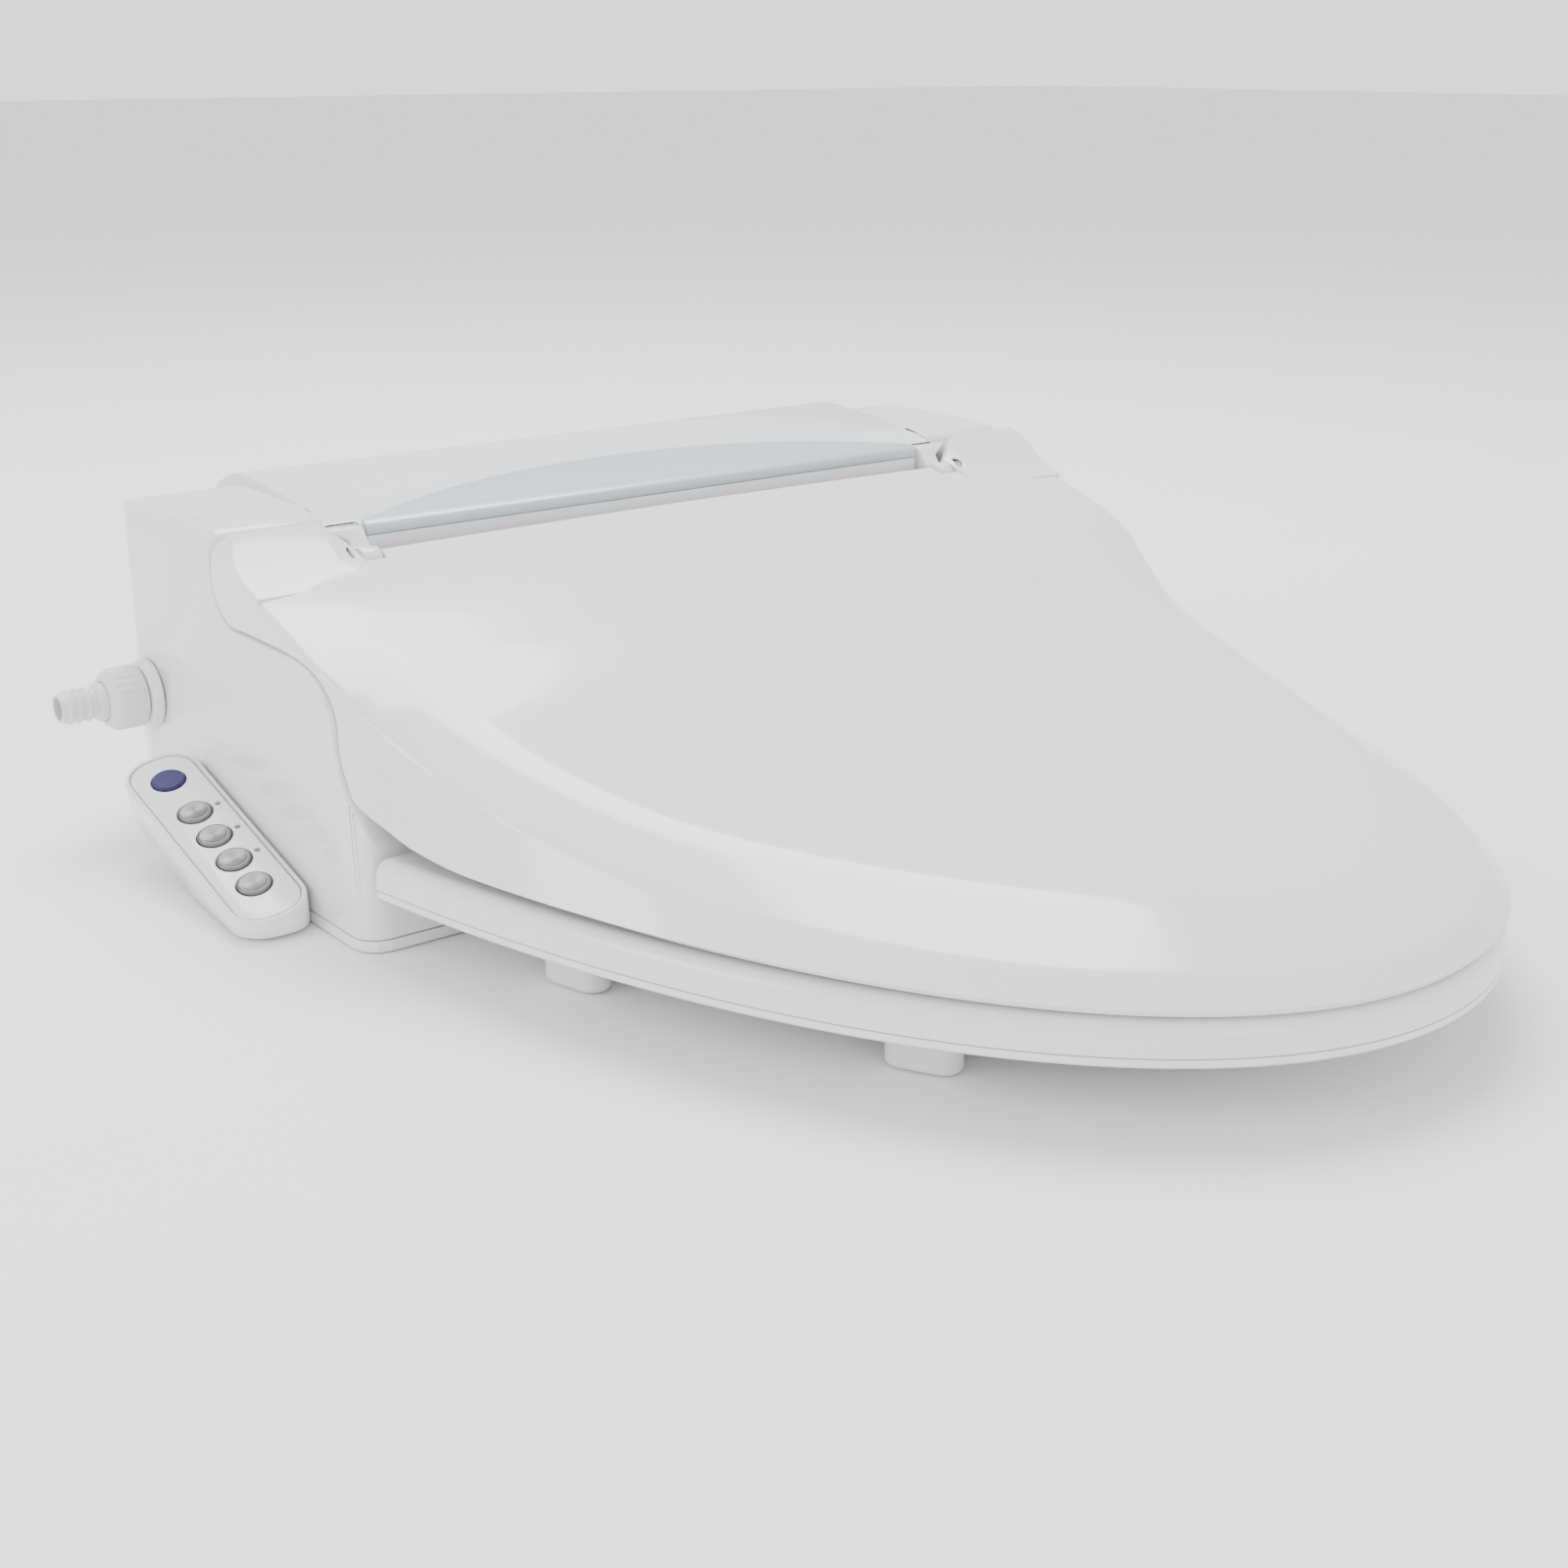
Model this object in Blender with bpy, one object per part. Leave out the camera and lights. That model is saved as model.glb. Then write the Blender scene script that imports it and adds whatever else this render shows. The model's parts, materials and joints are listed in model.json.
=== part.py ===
"""Electric bidet seat, modelled piece by piece as it comes apart on a bench.

Units are metres and +Z is up. The origin is on the plane of the toilet rim, midway between the two
mounting bolts. The seat points to -Y, and the user's right hand is at -X, where the control pod and the
water inlet are. Places along Y are given as a depth, measured forward from the housing's rear face.
"""

import math

import bmesh
import bpy
import numpy as np
from mathutils import Matrix, Vector

# ---- fits shared by every piece ------------------------------------------------------------------
GAP = 0.0003            # between pieces that touch
PLAY = 0.0005           # around a piece that turns or slides
WALL = 0.003            # moulded shells
ARC_STEPS = 6           # segments in a moulded corner
ROUND = 20              # sides of a turned piece

# ---- housing -------------------------------------------------------------------------------------
BOLT_DEPTH = 0.095      # rear face to the bolts' line, where the origin is
HALF_WIDTH = 0.196
HOUSING_DEPTH = 0.2187
REAR_CORNER_R = 0.045
FRONT_CORNER_R = 0.010
SIDE_TOP_R = 0.011
BASE_THICK = 0.004
SHOULDER_HEIGHT = 0.1325
SHOULDER_REAR_R = 0.030
PLATEAU_REAR_R = 0.035
PLATEAU_FRONT_DEPTH = 0.1190
PLATEAU_HALF = 0.150
PLATEAU_TOP = ((0.035, 0.1367), (0.055, 0.1360), (0.080, 0.1340), (0.100, 0.1308), (0.119, 0.1258))
RECESS_HALF = 0.138     # the front face steps back between the seat's arms
RECESS_DEPTH = 0.024

# ---- hinge shared by lid and seat ----------------------------------------------------------------
HINGE_DEPTH = 0.131
HINGE_HEIGHT = 0.1155
EAR_R = 0.017
EAR_GAP = 0.0013        # all round the ears, in the housing's recesses
EAR_INNER = 0.1468
KNUCKLE_R = 0.0058      # the housing's knuckles between the ears
KNUCKLE_INNER = 0.1378
KNUCKLE_OUTER = 0.1455
HUB_R = 0.0055
HUB_GAP = 0.0010
ARM_INNER = 0.1505
ARM_OUTER = 0.1625
ARM_LOWER = ((0.1320, 0.1101), (0.1740, 0.0790), (0.2055, 0.0520), (0.2197, 0.0355))
ARM_UPPER = ((0.2215, 0.0480), (0.1790, 0.0915), (0.1660, 0.1020), (0.1500, 0.1078))
PIN_R = 0.0026
DAMPER_R = 0.0056
SEAT_OPENING_DEG = 100.0
LID_OPENING_DEG = 108.0

# ---- seat and lid --------------------------------------------------------------------------------
SEAT_TIP_DEPTH = 0.5098
SEAT_REAR_DEPTH = 0.2222
SEAT_REAR_HALF = 0.1925
OUTLINE_TIP_HANDLE = 0.088
OUTLINE_SIDE_HANDLE = (0.1665, 0.404)
SEAT_UNDERSIDE = 0.0218
SEAT_TOP = 0.0368
SEAT_PLATE = 0.003
OPENING_FRONT_DEPTH = 0.452
OPENING_REAR_DEPTH = 0.226
OPENING_HALF = 0.104
LID_WALL = 0.003
LID_CREASE_INSET = 0.008
LID_PLATEAU_INSET = 0.027
LID_PLATEAU_TIP_INSET = 0.040
LID_CROWN = 0.0016
LID_REAR_DEPTH = 0.1312
LID_GAP = 0.0011        # between the lid's lower edge and the housing's nose

# heights along the lid, as (depth, height): lower edge, edge of the side face, and top
LID_EDGE = ((0.1312, 0.0990), (0.172, 0.0985), (0.186, 0.0950), (0.1960, 0.087), (0.2005, 0.077),
            (0.2030, 0.067), (0.207, 0.0595), (0.215, 0.0535), (0.228, 0.0490), (0.245, 0.0445),
            (0.270, 0.0420), (0.400, 0.0405), (0.5098, 0.0390))
LID_SIDE = ((0.1312, 0.1180), (0.165, 0.108), (0.195, 0.0965), (0.215, 0.0840), (0.240, 0.0720),
            (0.280, 0.0620), (0.320, 0.0550), (0.360, 0.0510), (0.440, 0.0480), (0.5098, 0.0465))
LID_TOP = ((0.1312, 0.1193), (0.160, 0.1115), (0.200, 0.0970), (0.240, 0.0820), (0.280, 0.0730),
           (0.320, 0.0670), (0.360, 0.0640), (0.400, 0.0620), (0.440, 0.0600), (0.470, 0.0575))

# ---- silver plate --------------------------------------------------------------------------------
TRIM_HALF = 0.136
TRIM_APEX_DEPTH = 0.0875
TRIM_ARCH = 1.57        # how fast its rear edge bends forward: depth = apex + this * x squared
TRIM_THICK = 0.0012
TRIM_FRONT_DEPTH = 0.1212
TRIM_LIP_HEIGHT = 0.1232

# ---- control pod on the right-hand side ----------------------------------------------------------
POD_CENTRE = (-0.2120, 0.1350, 0.0242)   # X, depth and height of the middle button's foot
POD_PITCH_DEG = 16.0
POD_ROLL_DEG = 13.0
POD_LENGTH = 0.112
POD_WIDTH = 0.029
POD_HEIGHT = 0.0215
POD_CORNER_R = 0.0125
PANEL_INSET = 0.0022
PANEL_THICK = 0.0012
BUTTON_R = 0.0062
BUTTON_TRAVEL = 0.0008
BUTTON_HEIGHT = 0.0032
BUTTON_PLACES = (-0.0403, -0.0168, 0.0, 0.0164, 0.0328)   # along the pod, rear to front
BUTTON_NAMES = ("stop_button", "rear_wash_button", "front_wash_button", "dryer_button", "pressure_button")

# ---- water inlet ---------------------------------------------------------------------------------
INLET_DEPTH = 0.048
INLET_HEIGHT = 0.056
INLET_PIPE_R = 0.0075
INLET_BORE_R = 0.0045
INLET_TIP = 0.234

# ---- nozzles -------------------------------------------------------------------------------------
NOZZLE_SLOPE_DEG = 22.0
NOZZLE_R = 0.0048
NOZZLE_LENGTH = 0.112
NOZZLE_SPACING = 0.0155
NOZZLE_TIP_DEPTH = 0.186
NOZZLE_TIP_HEIGHT = 0.0165
NOZZLE_TRAVEL = 0.090

# ---- openings, screws and bracket ----------------------------------------------------------------
MOUTH_HALF = 0.019
MOUTH_TOP = 0.0235
FLAP_THICK = 0.0016
DRYER_X = 0.052
DRYER_HALF = 0.016
DRYER_LOW = 0.0065
DRYER_TOP = 0.0215
FILTER_DEPTH = 0.118
FILTER_LONG = 0.046
FILTER_LOW = 0.014
FILTER_HIGH = 0.020
FILTER_WIDE = 0.052
FILTER_TRAVEL = 0.050
GLAND_X = 0.150
GLAND_HEIGHT = 0.024
GLAND_R = 0.0075
SCREW_PLACES = ((0.165, 0.030), (0.178, 0.176))
POST_R = 0.0045
SCREW_R = 0.0016
SCREW_HEAD_R = 0.0034
BRACKET_HALF = (0.085, 0.030)
BRACKET_THICK = 0.0030
WELL_HEIGHT = 0.0055

COLOURS = {
    "white": ((0.86, 0.87, 0.88), 0.18, 0.0),
    "pale": ((0.78, 0.79, 0.80), 0.35, 0.0),
    "silver": ((0.52, 0.60, 0.64), 0.32, 0.85),
    "steel": ((0.60, 0.60, 0.60), 0.25, 1.0),
    "indigo": ((0.05, 0.03, 0.22), 0.30, 0.1),
    "lens": ((0.35, 0.37, 0.40), 0.20, 0.0),
    "rubber": ((0.72, 0.73, 0.74), 0.70, 0.0),
    "dark": ((0.06, 0.06, 0.07), 0.60, 0.0),
    "board": ((0.02, 0.16, 0.07), 0.50, 0.0),
    "foil": ((0.70, 0.45, 0.22), 0.35, 0.6),
}


SIDES = ((-1, "right"), (1, "left"))


def depth(value):
    """The world Y of a depth behind the front, measured forward from the rear face."""
    return BOLT_DEPTH - value


HINGE_POINT = Vector((0.0, depth(HINGE_DEPTH), HINGE_HEIGHT))


# ---- scene and materials -------------------------------------------------------------------------

def clear_scene():
    for item in list(bpy.data.objects):
        bpy.data.objects.remove(item, do_unlink=True)


def finish(name):
    """The Principled material of a colour in COLOURS."""
    found = bpy.data.materials.get(name)
    if found:
        return found
    colour, roughness, metallic = COLOURS[name]
    made = bpy.data.materials.new(name)
    made.use_nodes = True
    shader = made.node_tree.nodes["Principled BSDF"]
    shader.inputs["Base Color"].default_value = (*colour, 1.0)
    shader.inputs["Roughness"].default_value = roughness
    shader.inputs["Metallic"].default_value = metallic
    return made


def pivot(name, place):
    """An empty on a joint's axis."""
    empty = bpy.data.objects.new(name, None)
    empty.location = place
    bpy.context.collection.objects.link(empty)
    return empty


def piece(name, bm, colour=None, joint=None, smooth_deg=35.0):
    """Turns a bmesh in world coordinates into an object, hung on its joint's empty."""
    bmesh.ops.recalc_face_normals(bm, faces=bm.faces)
    mesh = bpy.data.meshes.new(name)
    item = bpy.data.objects.new(name, mesh)
    bpy.context.collection.objects.link(item)
    if joint:
        bm.transform(Matrix.Translation(-joint.location))
        item.parent = joint
    bm.to_mesh(mesh)
    bm.free()
    mesh.shade_smooth()
    mesh.set_sharp_from_angle(angle=math.radians(smooth_deg))
    if colour:
        mesh.materials.append(finish(colour))
    return item


def tool(name, bm):
    """A hidden solid that a Boolean uses."""
    item = piece(name, bm)
    item.hide_render = True
    item.display_type = "WIRE"
    return item


def combine(target, other, operation):
    modifier = target.modifiers.new(operation.title() + "_" + other.name, "BOOLEAN")
    modifier.operation = operation
    modifier.solver = "EXACT"
    modifier.object = other
    return target


def cut(target, name, bm):
    return combine(target, tool(name, bm), "DIFFERENCE")


def add(target, name, bm):
    return combine(target, tool(name, bm), "UNION")


def keep(target, name, bm):
    return combine(target, tool(name, bm), "INTERSECT")


# ---- outlines ------------------------------------------------------------------------------------

def arc(centre, radius, start_deg, end_deg, steps=ARC_STEPS):
    """Points on a circle, both ends included."""
    angles = [math.radians(start_deg + (end_deg - start_deg) * n / steps) for n in range(steps + 1)]
    return [(centre[0] + radius * math.cos(a), centre[1] + radius * math.sin(a)) for a in angles]


def bezier(p0, p1, p2, p3, steps):
    points = []
    for n in range(steps + 1):
        t = n / steps
        weights = ((1 - t) ** 3, 3 * t * (1 - t) ** 2, 3 * t * t * (1 - t), t ** 3)
        points.append(tuple(sum(w * p[k] for w, p in zip(weights, (p0, p1, p2, p3))) for k in (0, 1)))
    return points


def rounded_box(low, high, radius, steps=3):
    """A rectangle with round corners, anticlockwise."""
    (x0, y0), (x1, y1) = low, high
    return (arc((x1 - radius, y0 + radius), radius, -90, 0, steps)
            + arc((x1 - radius, y1 - radius), radius, 0, 90, steps)
            + arc((x0 + radius, y1 - radius), radius, 90, 180, steps)
            + arc((x0 + radius, y0 + radius), radius, 180, 270, steps))


def inset(points, distance):
    """An outline moved inwards by a distance, with mitred corners; anticlockwise points."""
    if distance == 0:
        return list(points)
    moved = []
    for n, point in enumerate(points):
        before = Vector(point) - Vector(points[n - 1])
        after = Vector(points[(n + 1) % len(points)]) - Vector(point)
        n1 = Vector((-before.y, before.x)).normalized()
        n2 = Vector((-after.y, after.x)).normalized()
        middle = (n1 + n2).normalized()
        moved.append(tuple(Vector(point) + middle * (distance / max(0.35, middle.dot(n1)))))
    return moved


def curve_height(curve, place):
    """The height at a depth on a smooth curve through (depth, height) points."""
    xs = [p[0] for p in curve]
    ys = [p[1] for p in curve]
    if place <= xs[0]:
        return ys[0]
    if place >= xs[-1]:
        return ys[-1]
    k = max(n for n in range(len(xs) - 1) if xs[n] <= place)
    slopes = [(ys[n + 1] - ys[n]) / (xs[n + 1] - xs[n]) for n in range(len(xs) - 1)]

    def tangent(n):
        if n in (0, len(xs) - 1):
            return slopes[min(n, len(slopes) - 1)]
        a, b = slopes[n - 1], slopes[n]
        return 0.0 if a * b <= 0 else 2 * a * b / (a + b)

    span = xs[k + 1] - xs[k]
    t = (place - xs[k]) / span
    return ((2 * t ** 3 - 3 * t ** 2 + 1) * ys[k] + (t ** 3 - 2 * t ** 2 + t) * span * tangent(k)
            + (3 * t ** 2 - 2 * t ** 3) * ys[k + 1] + (t ** 3 - t ** 2) * span * tangent(k + 1))


def seat_outline(steps):
    """Half of the seat's plan, from the rear corner round to the tip, on the +X side."""
    return bezier((SEAT_REAR_HALF, depth(SEAT_REAR_DEPTH)),
                  (OUTLINE_SIDE_HANDLE[0], depth(OUTLINE_SIDE_HANDLE[1])),
                  (OUTLINE_TIP_HANDLE, depth(SEAT_TIP_DEPTH)),
                  (0.0, depth(SEAT_TIP_DEPTH)), steps)


# ---- solids --------------------------------------------------------------------------------------

def prism(points, axis, low, high):
    """An outline pushed along an axis: (y, z) points for X, (x, z) for Y, (x, y) for Z."""
    bm = bmesh.new()
    order = {"X": lambda p, h: (h, p[0], p[1]), "Y": lambda p, h: (p[0], h, p[1]),
             "Z": lambda p, h: (p[0], p[1], h)}[axis]
    bottom = [bm.verts.new(order(p, low)) for p in points]
    top = [bm.verts.new(order(p, high)) for p in points]
    bm.faces.new(bottom)
    bm.faces.new(top)
    for n in range(len(points)):
        m = (n + 1) % len(points)
        bm.faces.new((bottom[n], bottom[m], top[m], top[n]))
    return bm


def box(low, high):
    return prism([(low[0], low[1]), (high[0], low[1]), (high[0], high[1]), (low[0], high[1])],
                 "Z", low[2], high[2])


def rings(loops, closed=False):
    """A solid through rings of points; closed joins the last ring to the first, else ends are capped."""
    bm = bmesh.new()
    made = [[bm.verts.new(p) for p in loop] for loop in loops]
    pairs = list(zip(made, made[1:])) + ([(made[-1], made[0])] if closed else [])
    for a, b in pairs:
        for n in range(len(a)):
            m = (n + 1) % len(a)
            bm.faces.new((a[n], a[m], b[m], b[n]))
    if not closed:
        bm.faces.new(made[0])
        bm.faces.new(made[-1])
    return bm


def turned(profile, place, direction, sides=ROUND, closed=False):
    """A profile of (radius, height) turned about an axis that starts at place."""
    turn = Vector((0, 0, 1)).rotation_difference(Vector(direction)).to_matrix().to_4x4()
    frame = Matrix.Translation(place) @ turn
    loops = []
    for radius, height in profile:
        angles = [2 * math.pi * n / sides for n in range(sides)]
        loops.append([frame @ Vector((radius * math.cos(a), radius * math.sin(a), height)) for a in angles])
    return rings(loops, closed)


def cylinder(radius, start, end, sides=ROUND):
    way = Vector(end) - Vector(start)
    return turned(((radius, 0.0), (radius, way.length)), start, way, sides)


def tube(outer, inner, start, end, sides=ROUND):
    way = Vector(end) - Vector(start)
    return turned(((outer, 0), (outer, way.length), (inner, way.length), (inner, 0)), start, way, sides, True)


def placed(bm, frame):
    bm.transform(frame)
    return bm


# ---- housing -------------------------------------------------------------------------------------

def hinge_circle(radius, start_deg, end_deg, steps=ARC_STEPS):
    """Points (y, z) on a circle about the hinge; 0 degrees is the rear and 90 the top."""
    return arc((HINGE_POINT.y, HINGE_POINT.z), radius, start_deg, end_deg, steps)


def front_profile(bottom):
    """The housing's nose in side view, from under the lid's arm down to the bottom, as (y, z)."""
    seat = HINGE_HEIGHT - EAR_R - EAR_GAP
    under_arm = bezier((depth(0.174), seat), (depth(0.194), seat), (depth(0.2025), 0.088),
                       (depth(0.2035), 0.072), 5)
    foot = bezier((depth(0.2035), 0.072), (depth(0.206), 0.056), (depth(HOUSING_DEPTH), 0.052),
                  (depth(HOUSING_DEPTH), 0.030), 4)
    return under_arm + foot[1:] + [(depth(HOUSING_DEPTH), bottom)]


def wing_profile(bottom):
    """Side view of the housing beside the plateau, anticlockwise seen from +X, as (y, z)."""
    rear = [(depth(0.0), bottom)]
    rear += arc((depth(SHOULDER_REAR_R), SHOULDER_HEIGHT - SHOULDER_REAR_R), SHOULDER_REAR_R, 0, 90)
    clear = EAR_R + EAR_GAP
    wall = HINGE_POINT.y + clear
    front_top = [(depth(0.063), SHOULDER_HEIGHT), (wall + 0.003, 0.1303), (wall, 0.1278)]
    return rear + front_top + hinge_circle(clear, 0, -90) + front_profile(bottom)


def plateau_profile(bottom):
    """Side view of the housing's middle, as (y, z)."""
    rear = [(depth(0.0), bottom)]
    height = PLATEAU_TOP[0][1]
    rear += arc((depth(PLATEAU_REAR_R), height - PLATEAU_REAR_R), PLATEAU_REAR_R, 0, 90)
    top = [(depth(back), z) for back, z in PLATEAU_TOP[1:]]
    return rear + top + [(depth(PLATEAU_FRONT_DEPTH), HINGE_HEIGHT - EAR_R - EAR_GAP)] + front_profile(bottom)


def arm_slot_path(clearance):
    """What the seat's arm needs below the lid's seat on the housing, open to the front, as (y, z)."""
    lower = [(depth(back - 0.6 * clearance), z - clearance) for back, z in ARM_LOWER]
    start = (depth(0.1200 - clearance), lower[0][1])
    front = [(depth(0.2197 - 0.6 * clearance), 0.0005), (depth(0.30), 0.0005), (depth(0.30), 0.16)]
    return [start] + lower + front + [(start[0], 0.16)]


def arm_slot_ends(side, clearance):
    return sorted((side * (ARM_INNER - HUB_GAP - clearance), side * (ARM_OUTER + HUB_GAP + clearance)))


def housing_plan():
    """The housing's outline from above, anticlockwise."""
    rear = HALF_WIDTH - REAR_CORNER_R
    front = HALF_WIDTH - FRONT_CORNER_R
    front_y = depth(HOUSING_DEPTH - FRONT_CORNER_R)
    return (arc((rear, depth(REAR_CORNER_R)), REAR_CORNER_R, 0, 90, 8)
            + arc((-rear, depth(REAR_CORNER_R)), REAR_CORNER_R, 90, 180, 8)
            + arc((-front, front_y), FRONT_CORNER_R, 180, 270, 3)
            + arc((front, front_y), FRONT_CORNER_R, 270, 360, 3))


def housing_view(bottom):
    """The housing's outline from the front, anticlockwise, as (x, z)."""
    right = [(HALF_WIDTH, bottom)]
    right += arc((HALF_WIDTH - SIDE_TOP_R, SHOULDER_HEIGHT - SIDE_TOP_R), SIDE_TOP_R, 0, 90)
    right += [(PLATEAU_HALF + 0.006, SHOULDER_HEIGHT + 0.0006), (PLATEAU_HALF, SHOULDER_HEIGHT + 0.006)]
    return right + [(-x, z) for x, z in reversed(right)]


def housing_block(name, shrink, bottom):
    """The housing's outer form, or with a shrink the hollow inside its walls."""
    block = tool(name + "_wings", prism(inset(wing_profile(bottom), shrink), "X",
                                        -HALF_WIDTH - 0.01, HALF_WIDTH + 0.01))
    cut(block, name + "_between", box((-PLATEAU_HALF + shrink, depth(0.30), 0.10),
                                      (PLATEAU_HALF - shrink, depth(-0.01), 0.20)))
    add(block, name + "_plateau", prism(inset(plateau_profile(bottom), shrink), "X",
                                        -PLATEAU_HALF + shrink * 0.5, PLATEAU_HALF - shrink * 0.5))
    keep(block, name + "_plan", prism(inset(housing_plan(), shrink), "Z", bottom - 0.01, 0.20))
    keep(block, name + "_view", prism(inset(housing_view(bottom - 0.02), shrink), "Y", depth(0.30), depth(-0.05)))
    cut(block, name + "_recess", box((-RECESS_HALF - shrink, depth(0.30), -0.05),
                                     (RECESS_HALF + shrink, depth(HOUSING_DEPTH - RECESS_DEPTH - shrink),
                                      0.0685 + shrink)))
    for side, word in SIDES:
        cut(block, f"{name}_arm_slot_{word}", prism(arm_slot_path(0.0015 + shrink), "X",
                                                    *arm_slot_ends(side, shrink)))
    return block


def knuckle(side, word):
    """The part of the housing that holds a hinge pin, coned at its end to let the ear turn past."""
    front = [(depth(0.1212), 0.1268), (depth(0.1150), 0.1272), (depth(0.1150), HINGE_HEIGHT - KNUCKLE_R)]
    profile = front[:1] + hinge_circle(KNUCKLE_R, 50, 270, 12) + front[2:] + front[1:2]
    solid = tool(f"knuckle_{word}", prism(profile, "X", *sorted((side * KNUCKLE_INNER, side * 0.1568))))
    start = (side * KNUCKLE_OUTER, *HINGE_POINT.yz)
    cut(solid, f"knuckle_cone_{word}", turned(((0.0105, 0.0), (0.0183, 0.0115)), start, (side, 0, 0), 24))
    return solid


def housing_cover():
    cover = piece("housing_cover", box((-0.3, -0.4, BASE_THICK + GAP), (0.3, 0.3, 0.2)), "white")
    combine(cover, housing_block("cover_form", 0.0, 0.0), "INTERSECT")
    combine(cover, housing_block("cover_hollow", WALL, -0.010), "DIFFERENCE")
    return cover


def housing_openings(cover):
    """Everything that passes through the cover's walls."""
    cut(cover, "inlet_hole", cylinder(INLET_PIPE_R + 0.0010, inlet_point(-HALF_WIDTH - 0.01),
                                      inlet_point(-HALF_WIDTH + 0.01)))
    front = depth(HOUSING_DEPTH - RECESS_DEPTH)
    cut(cover, "nozzle_mouth", box((-MOUTH_HALF - PLAY, front - 0.01, -0.01),
                                   (MOUTH_HALF + PLAY, front + 0.01, MOUTH_TOP)))
    cut(cover, "dryer_mouth", box((DRYER_X - DRYER_HALF - PLAY, front - 0.01, DRYER_LOW - PLAY),
                                  (DRYER_X + DRYER_HALF + PLAY, front + 0.01, DRYER_TOP)))
    low = (HALF_WIDTH - 0.01, depth(FILTER_DEPTH + FILTER_LONG) - PLAY, FILTER_LOW - PLAY)
    high = (HALF_WIDTH + 0.01, depth(FILTER_DEPTH) + PLAY, FILTER_LOW + FILTER_HIGH + PLAY)
    cut(cover, "filter_slot", box(low, high))
    cut(cover, "gland_hole", cylinder(GLAND_R + GAP, (GLAND_X, depth(0.01), GLAND_HEIGHT),
                                      (GLAND_X, depth(-0.01), GLAND_HEIGHT)))


def post_top(place):
    """A screw post ends inside the wall above it."""
    ceiling = SHOULDER_HEIGHT - 0.001 if place < HINGE_DEPTH - EAR_R else HINGE_HEIGHT - EAR_R - EAR_GAP
    return ceiling - WALL / 2


def screw_posts(cover):
    """Posts that hang from the cover's ceiling and take the screws from below."""
    for n, (x, back) in enumerate(SCREW_PLACES):
        for side in (-1, 1):
            at = (side * x, depth(back))
            name = f"post_{n}_{'right' if side < 0 else 'left'}"
            add(cover, name, cylinder(POST_R, (*at, BASE_THICK + GAP), (*at, post_top(back)), 12))
            cut(cover, name + "_bore", cylinder(SCREW_R + GAP, (*at, -0.01), (*at, 0.022), 12))


def base_plate():
    """The floor of the housing, with a well underneath that takes the mounting bracket."""
    plate = piece("base_plate", box((-0.3, -0.4, 0.0), (0.3, 0.3, BASE_THICK)), "white")
    combine(plate, housing_block("base_form", 0.0, -0.010), "INTERSECT")
    hx, hy = BRACKET_HALF
    add(plate, "bracket_dome", box((-hx - WALL, -hy - WALL, 0.0), (hx + WALL, hy + WALL, WELL_HEIGHT + 0.002)))
    cut(plate, "bracket_well", box((-hx - PLAY, -hy - PLAY, -0.01), (hx + PLAY, hy + PLAY, WELL_HEIGHT)))
    for x, back in SCREW_PLACES:
        for side in (-1, 1):
            at = (side * x, depth(back))
            name = f"base_{back}_{'right' if side < 0 else 'left'}"
            cut(plate, name + "_hole", cylinder(SCREW_R + GAP, (*at, -0.01), (*at, 0.01), 12))
            cut(plate, name + "_sink", cylinder(SCREW_HEAD_R + GAP, (*at, -0.01), (*at, 0.0022), 12))
    return plate


def case_screws():
    names = ("case_screw_rear", "case_screw_front")
    for name, (x, back) in zip(names, SCREW_PLACES):
        for side, end in ((-1, "right"), (1, "left")):
            shape = ((SCREW_HEAD_R, 0.0004), (SCREW_HEAD_R, 0.0019), (SCREW_R, 0.0019), (SCREW_R, 0.018))
            piece(f"{name}_{end}", turned(shape, (side * x, depth(back), 0), (0, 0, 1), 12), "steel")


def mounting_bracket():
    """The steel-backed plate that is bolted to the bowl, with a slot for each bolt."""
    hx, hy = BRACKET_HALF
    bracket = piece("mounting_bracket", prism(rounded_box((-hx, -hy), (hx, hy), 0.006), "Z", 0.0, BRACKET_THICK),
                    "pale")
    for side in (-1, 1):
        slot = rounded_box((side * 0.0705 - 0.0095, -0.020), (side * 0.0705 + 0.0095, 0.020), 0.0045)
        cut(bracket, f"bolt_slot_{'right' if side < 0 else 'left'}", prism(slot, "Z", -0.01, 0.01))
    return bracket


def trim_plate():
    """The silver plate on the plateau: straight in front, arched behind, turned down along its front."""
    arch = []
    for n in range(17):
        x = TRIM_HALF * (1 - n / 8)
        arch.append((x, depth(TRIM_APEX_DEPTH + TRIM_ARCH * x * x)))
    outline = [(-TRIM_HALF, depth(0.125)), (TRIM_HALF, depth(0.125))] + arch
    plate = piece("silver_trim_plate", prism(outline, "Z", 0.10, 0.20), "silver")
    under = [(depth(back), z + GAP) for back, z in PLATEAU_TOP[1:-1]]
    last = PLATEAU_TOP[-1][1] + GAP
    under += [(depth(PLATEAU_FRONT_DEPTH + GAP), last), (depth(PLATEAU_FRONT_DEPTH + GAP), TRIM_LIP_HEIGHT)]
    skin = [(depth(TRIM_FRONT_DEPTH), TRIM_LIP_HEIGHT), (depth(TRIM_FRONT_DEPTH), last + 0.0006),
            (depth(TRIM_FRONT_DEPTH - 0.0008), last + TRIM_THICK)]
    skin += [(y, z + TRIM_THICK) for y, z in reversed(under[:-2])]
    return keep(plate, "trim_band", prism(under + skin, "X", -0.2, 0.2))


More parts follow.
